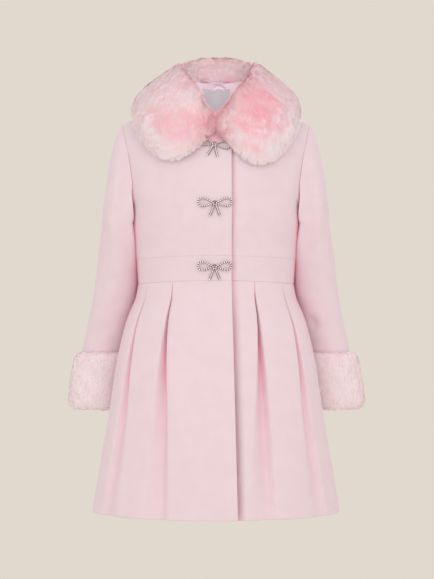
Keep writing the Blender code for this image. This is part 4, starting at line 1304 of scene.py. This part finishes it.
facing_x = FACING_X * (2 * near_edges(40, 0.01, 0.01) - 1)
facing_z = (STAND_EDGE_Z + (FACING_LOW_Z - STAND_EDGE_Z) * near_edges(30, 0.015, 0.015))[:, None]
sewn_z = np.minimum(facing_z, neck_z(facing_x, 1) - 0.5)
sewn_x = facing_x + 0 * sewn_z
neck_facing = form(sewn_x, sewn_z, 1) - form_normals(sewn_x, sewn_z, 1) * (CLOTH + LINING + 0.7)
neck_facing[..., 1:] += (facing_z - sewn_z)[..., None] * np.array((0.2, 1.0))
bent_y = neck_facing[..., 1].copy()
for _ in range(SMOOTHINGS):
    neck_facing[1:-1, :, 1] += 0.25 * np.diff(neck_facing[..., 1], 2, axis=0)
neck_facing[..., 1] -= (neck_facing[..., 1] - bent_y).max(0)
facing_out = outward(neck_facing, BODY_AXIS)
linings.append(cloth_skins(neck_facing, facing_out, (THIN_EDGE,) * 4, wall=LINING))
satins = [LINING_SATIN, LINING_SATIN]
neck_lining = piece("neck_lining_satin", linings, satins, ["back_neck_lining"])

# %% [markdown]
# ## Neck label
# A woven label, left blank, is sewn to the facing. Its grid is read from the facing's own grid, so that
# it bends with it, half a millimetre clear.

# %% Neck label
LABEL_WIDE, LABEL_TALL, LABEL_TOP_Z, LABEL_WALL = 48.0, 30.0, 20.0, 0.6
label_x = LABEL_WIDE / 2 * (2 * near_edges(30, 0.02, 0.02) - 1)
label_z = (LABEL_TOP_Z - LABEL_TALL * near_edges(20, 0.03, 0.03))[:, None]
label_x, label_z = label_x + 0 * label_z, label_z + 0 * label_x
label_row = np.interp(-label_z, -facing_z[:, 0], np.arange(len(facing_z)))
label_column = np.interp(label_x, facing_x, np.arange(len(facing_x)))
label_out = unit(read_grid(facing_out, label_row, label_column))
label_grid = read_grid(neck_facing, label_row, label_column) - label_out * (LINING + 0.5)
label_skins = cloth_skins(label_grid, label_out, ((0.3, 0.5, True),) * 4, wall=LABEL_WALL)
label = piece("neck_label_satin", [label_skins], [LABEL_SATIN, LABEL_SATIN], ["neck_label"])

# %% [markdown]
# ## Hanger loop
# A short satin cord, sewn down at both ends above the label. It is a round profile carried along half an
# oval.

# %% Hanger loop
LOOP_HALF, LOOP_OUT, LOOP_TALL, CORD_RADIUS = 7, 1.5, 4.0, 1.1


def tube(path, radius, steps=12):
    """A round profile carried along a path: rings of points set square to it."""
    ahead = unit(np.gradient(path, axis=0))
    aside = unit(np.cross(ahead, np.array((0.0, 1.0, 0.0))))
    up = np.cross(aside, ahead)
    turn = np.linspace(0, 2 * np.pi, steps, endpoint=False)[:, None, None]
    return np.swapaxes(path + radius * (np.cos(turn) * aside + np.sin(turn) * up), 0, 1)


def tube_part(rings, closed=False):
    """Points, faces and stuff numbers of a tube, its ends drawn to a point unless it is closed on itself."""
    rings = rings if closed else pointed(rings)
    index = np.arange(rings[..., 0].size).reshape(rings.shape[:2])
    faces = np.roll(quads(index, True, True), 1, 1)
    return rings.reshape(-1, 3), faces, np.zeros(len(faces))


arc = np.linspace(0, np.pi, 40)[:, None]
loop_base = label_grid[0].mean(0) * (0, 1, 1) + (4.5, -6.0, -2.6)
bowed = [LOOP_HALF * np.cos(arc), -LOOP_OUT * np.sin(arc), LOOP_TALL * np.sin(arc)]
cord = tube_part(tube(loop_base + np.concatenate(bowed, 1), CORD_RADIUS))
piece("hanger_loop_cord", [cord], [LINING_SATIN], ["hanger_loop"])

# %% [markdown]
# ## Bow fasteners
# Three bright bows close the front. Each is a cast and plated setting with small clear stones along it.
# The metal hardly shows between the stones, as dark warm lines. The stones have a silver foil behind
# them, so that they act as bright facets rather than as glass.

# %% Bow materials
POLISH_MM, SPARK_MM = 1.2, 1.1


def bright_metal():
    """Plated casting: a dark warm mirror, slightly clouded by fine polishing marks."""
    made, tree, shader = blank("bright_plated_metal")
    place = node(tree, "ShaderNodeTexCoord").outputs["Object"]
    rub = node(tree, "ShaderNodeTexNoise", {"Vector": place, "Scale": per_metre(POLISH_MM), "Detail": 3.0})
    gloss = node(tree, "ShaderNodeMapRange", {"Value": rub.outputs["Fac"], "To Min": 0.16, "To Max": 0.34})
    fill(shader, {"Roughness": gloss.outputs["Result"], "Base Color": linear("#5E4143"), "Metallic": 1.0})
    return made


def foiled_stone():
    """Glass stones with a silver foil behind them: tiny facets, each a little lighter or pinker."""
    made, tree, shader = blank("foiled_clear_stone")
    place = node(tree, "ShaderNodeTexCoord").outputs["Object"]
    spark = node(tree, "ShaderNodeTexVoronoi", {"Vector": place, "Scale": per_metre(SPARK_MM)})
    tone = node(tree, "ShaderNodeValToRGB", {"Fac": spark.outputs["Color"]})
    stops(tone, {0.0: "#F6D9DB", 1.0: "#FFF1F0"})
    fill(shader, {"Base Color": tone.outputs["Color"], "Metallic": 0.85, "Roughness": 0.08})
    return made


METAL, STONE = bright_metal(), foiled_stone()
print("made", METAL.name, STONE.name)

# %% [markdown]
# ## Bow shapes
# A bow follows two loops, a knot and two tails. The setting is a rounded profile carried along each path.
# Every stone is a low faceted dome with a flat base, placed by arrays, and all are joined into one mesh.

# %% Bow shapes
BOW_THICK = 2.2


def along_line(line, spacing, closed):
    """Places along a smooth line at an even spacing."""
    fine = refine(np.stack([line["x"], line["z"]], -1), 400, closed)
    fine = np.concatenate([fine, fine[:1]]) if closed else fine
    run = np.insert(np.cumsum(np.linalg.norm(np.diff(fine, axis=0), axis=1)), 0, 0)
    count = max(2, round(run[-1] / spacing) + (not closed))
    at = np.linspace(0, run[-1], count, endpoint=not closed)
    return np.stack([np.interp(at, run, fine[:, i]) for i in range(2)], -1)


def setting(line, closed, wide):
    """The channel under the stones: a low rounded profile, wide across and BOW_THICK deep, along a line."""
    path = along_line(line, 0.7, closed)
    ahead = np.roll(path, -1, 0) - np.roll(path, 1, 0) if closed else np.gradient(path, axis=0)
    across = unit(ahead)[:, ::-1] * (1, -1)
    turn = np.linspace(0, 2 * np.pi, 12, endpoint=False)
    sideways = np.sign(np.cos(turn)) * np.abs(np.cos(turn)) ** 0.6 * wide / 2
    upward = np.sign(np.sin(turn)) * np.abs(np.sin(turn)) ** 0.6 * BOW_THICK / 2
    flat = path[:, None] + across[:, None] * sideways[:, None]
    rings = np.concatenate([flat, upward[:, None] + 0 * flat[..., :1]], -1)
    return tube_part(np.concatenate([rings, rings[:1]]) if closed else rings, closed)


def stones(places, wide):
    """Faceted domes: girdle and crown rings of eight, a top and a base, the same for each place."""
    turn = np.arange(8) * np.pi / 4
    ring = np.stack([np.cos(turn), np.sin(turn), 0 * turn], -1)
    girdle, crown = ring * wide / 2 + (0, 0, 0.8), ring * wide / 2.6 + (0, 0, 1.3)
    gem = np.concatenate([girdle, crown, [(0, 0, 1.5), (0, 0, 0.8)]])
    k, n = np.arange(8), (np.arange(8) + 1) % 8
    walls = [np.stack([k, n, n + 8], -1), np.stack([k, n + 8, k + 8], -1)]
    lids = [np.stack([k + 8, n + 8, 0 * k + 16], -1), np.stack([n, k, 0 * k + 17], -1)]
    facets = np.concatenate([*walls, *lids])
    points = np.concatenate([places, 0 * places[:, :1]], 1)[:, None] + gem
    faces = facets + len(gem) * np.arange(len(places))[:, None, None]
    return points.reshape(-1, 3), faces.reshape(-1, 3), np.ones(len(facets) * len(places))


def flipped(part):
    """The same part on the bow's other side, with its faces turned round again."""
    return part[0] * (-1, 1, 1), part[1][:, ::-1], part[2]


# %% [markdown]
# ## Bows in place
# One bow is built flat. Each of the three is then turned to the slope of the coat's front at its place
# and stood just clear of it. The top one hangs a little askew.

# %% Bows in place
BOWS = table(
    "x z tilt_degrees stand",
    (-2.5, -78.5, -9.0, 0.5), (-1.5, -164.5, 0.0, 0.1), (-2.0, -256.5, 0.0, 0.4),
)
LOOP_LINE = table(
    "x z",
    (2.6, 0.4), (7.5, 3.7), (13, 6.6), (19, 7.7), (23.6, 5.2), (24.2, 0.6), (20.5, -3.4), (13.5, -3.4),
    (7.0, -1.4),
)
TAIL_LINE = table("x z", (1.6, -2.4), (3.4, -7.8), (5.4, -13.2), (7.4, -17.6))
KNOT_LINE = table("x z", (-1.4, 0.4), (0, 2.2), (1.4, 0.4), (0, -1.4))
KNOT_PLACES = np.array([(0, 0.4), (0, 2.7), (0, -1.9), (2.0, 1.5), (-2.0, 1.5), (2.0, -0.9), (-2.0, -0.9)])
LOOP_STEP, LOOP_STONE, TAIL_STEP, TAIL_STONE, KNOT_STONE = 3.3, 2.4, 2.1, 2.2, 1.5
loop_part, tail_part, knot_part = (
    setting(line, closed, wide)
    for line, closed, wide in ((LOOP_LINE, True, 1.8), (TAIL_LINE, False, 2.8), (KNOT_LINE, True, 4.2))
)
loop_stones = stones(along_line(LOOP_LINE, LOOP_STEP, True), LOOP_STONE)
tail_stones = stones(along_line(TAIL_LINE, TAIL_STEP, False), TAIL_STONE)
knot_stones = stones(KNOT_PLACES, KNOT_STONE)
parts = [loop_part, flipped(loop_part), tail_part, flipped(tail_part), knot_part]
parts += [loop_stones, flipped(loop_stones), tail_stones, flipped(tail_stones), knot_stones]
for name, x, z, tilt, stand in zip(("bow_top", "bow_middle", "bow_waist"), *BOWS.values()):
    lower, middle, upper = form(np.array((x, x, x)), np.array((z - 9, z, z + 9)), -1)
    up = unit(upper - lower)
    out = unit(np.cross((1.0, 0, 0), up))
    spin = np.radians(tilt)
    right_way = np.cos(spin) * np.array((1.0, 0, 0)) + np.sin(spin) * up
    turn_to = np.stack([right_way, np.cross(out, right_way), out])
    centre = middle + out * (BOW_THICK / 2 + stand)
    placed = [(part[0] @ turn_to + centre, part[1], part[2]) for part in parts]
    bow = piece(name + "_setting", placed, [METAL, STONE], [name])
    gem_faces = np.zeros(len(bow.data.polygons), np.int32)
    bow.data.polygons.foreach_get("material_index", gem_faces)
    bow.data.polygons.foreach_set("use_smooth", gem_faces == 0)

# %% [markdown]
# ## Camera
# The picture was taken square on, from far enough away that the coat hardly narrows. That is a lens of
# about 108 mm from 2.6 m, where the picture is 0.87 m high.

# %% Camera
AWAY, VIEW_TALL, SENSOR_MM = 2.6, 0.8685, 36
scene = bpy.context.scene
scene.view_settings.view_transform = "Standard"
camera = bpy.data.objects.new("camera", bpy.data.cameras.new("camera"))
camera.data.lens = SENSOR_MM * AWAY / VIEW_TALL
camera.location = (0.0015, -AWAY, -0.28875)
camera.rotation_euler = (np.pi / 2, 0, 0)
scene.collection.objects.link(camera)
scene.camera = camera
print("camera lens", round(camera.data.lens, 1), "mm")

# %% [markdown]
# ## Lights
# Broad soft light from the front leaves only faint shade in the folds, and one lamp behind lights the
# back. A small lamp inside the neck, not seen itself, brings the lining to its brightness in the picture.

# %% Lights
def soft_light(name, place, aim, size, watts):
    """A square area light turned to face a point."""
    made = bpy.data.objects.new(name, bpy.data.lights.new(name, "AREA"))
    made.data.size, made.data.energy, made.data.color = size, watts, linear("#FFFFFF")[:3]
    made.location = place
    away = np.array(place) - np.array(aim)
    level = np.hypot(away[0], away[1])
    made.rotation_euler = (np.arctan2(level, away[2]), 0, np.arctan2(away[1], away[0]) + np.pi / 2)
    scene.collection.objects.link(made)
    return made


soft_light("key", (0.9, -2.6, 0.9), (0, 0, -0.25), 1.6, 7.5)
soft_light("fill", (-0.9, -2.6, 0.4), (0, 0, -0.3), 1.6, 6.0)
soft_light("front", (0, -2.9, -0.2), (0, 0, -0.3), 1.0, 4.6)
soft_light("rear", (0.3, 2.4, 1.3), (0, 0, -0.25), 1.8, 12)
inside = soft_light("neck_lift", (0, -0.008, -0.016), (0, 0.968, 0.202), 0.03, 0.011)
inside.data.spread = 2.1
inside.visible_camera = False

# %% [markdown]
# ## Backdrop and floor
# The backdrop is an even beige. The world shows that colour to the camera, and sends a nearly white light
# to the coat. A matt round floor lies well below the hem, out of the picture, and sends a little light
# up.

# %% Backdrop and floor
FLOOR_Z, FLOOR_ROUND, FLOOR_STEPS = -0.98, 1.4, 96
scene.world = bpy.data.worlds.new("studio")
scene.world.use_nodes = True
sky = scene.world.node_tree
seen = node(sky, "ShaderNodeLightPath").outputs["Is Camera Ray"]
shade = node(sky, "ShaderNodeMix", {0: seen, 6: linear("#F4F2F0"), 7: linear("#E1D9CE")}, data_type="RGBA")
level = node(sky, "ShaderNodeMapRange", {"Value": seen, "To Min": 0.98, "To Max": 1.0})
fill(sky.nodes["Background"], {"Color": shade.outputs[2], "Strength": level.outputs["Result"]})

ring = np.linspace(0, 2 * np.pi, FLOOR_STEPS, endpoint=False)
rim = np.stack([FLOOR_ROUND * np.cos(ring), FLOOR_ROUND * np.sin(ring), FLOOR_Z + 0 * ring], -1)
floor_mesh = bpy.data.meshes.new("floor")
floor_mesh.from_pydata(rim.tolist(), [], [list(range(FLOOR_STEPS))])
floor = bpy.data.objects.new("floor", floor_mesh)
scene.collection.objects.link(floor)
matt, _, paint = blank("matt_floor")
fill(paint, {"Base Color": linear("#E4DCD1"), "Roughness": 0.95})
floor_mesh.materials.append(matt)
print("floor at", FLOOR_Z, "m")
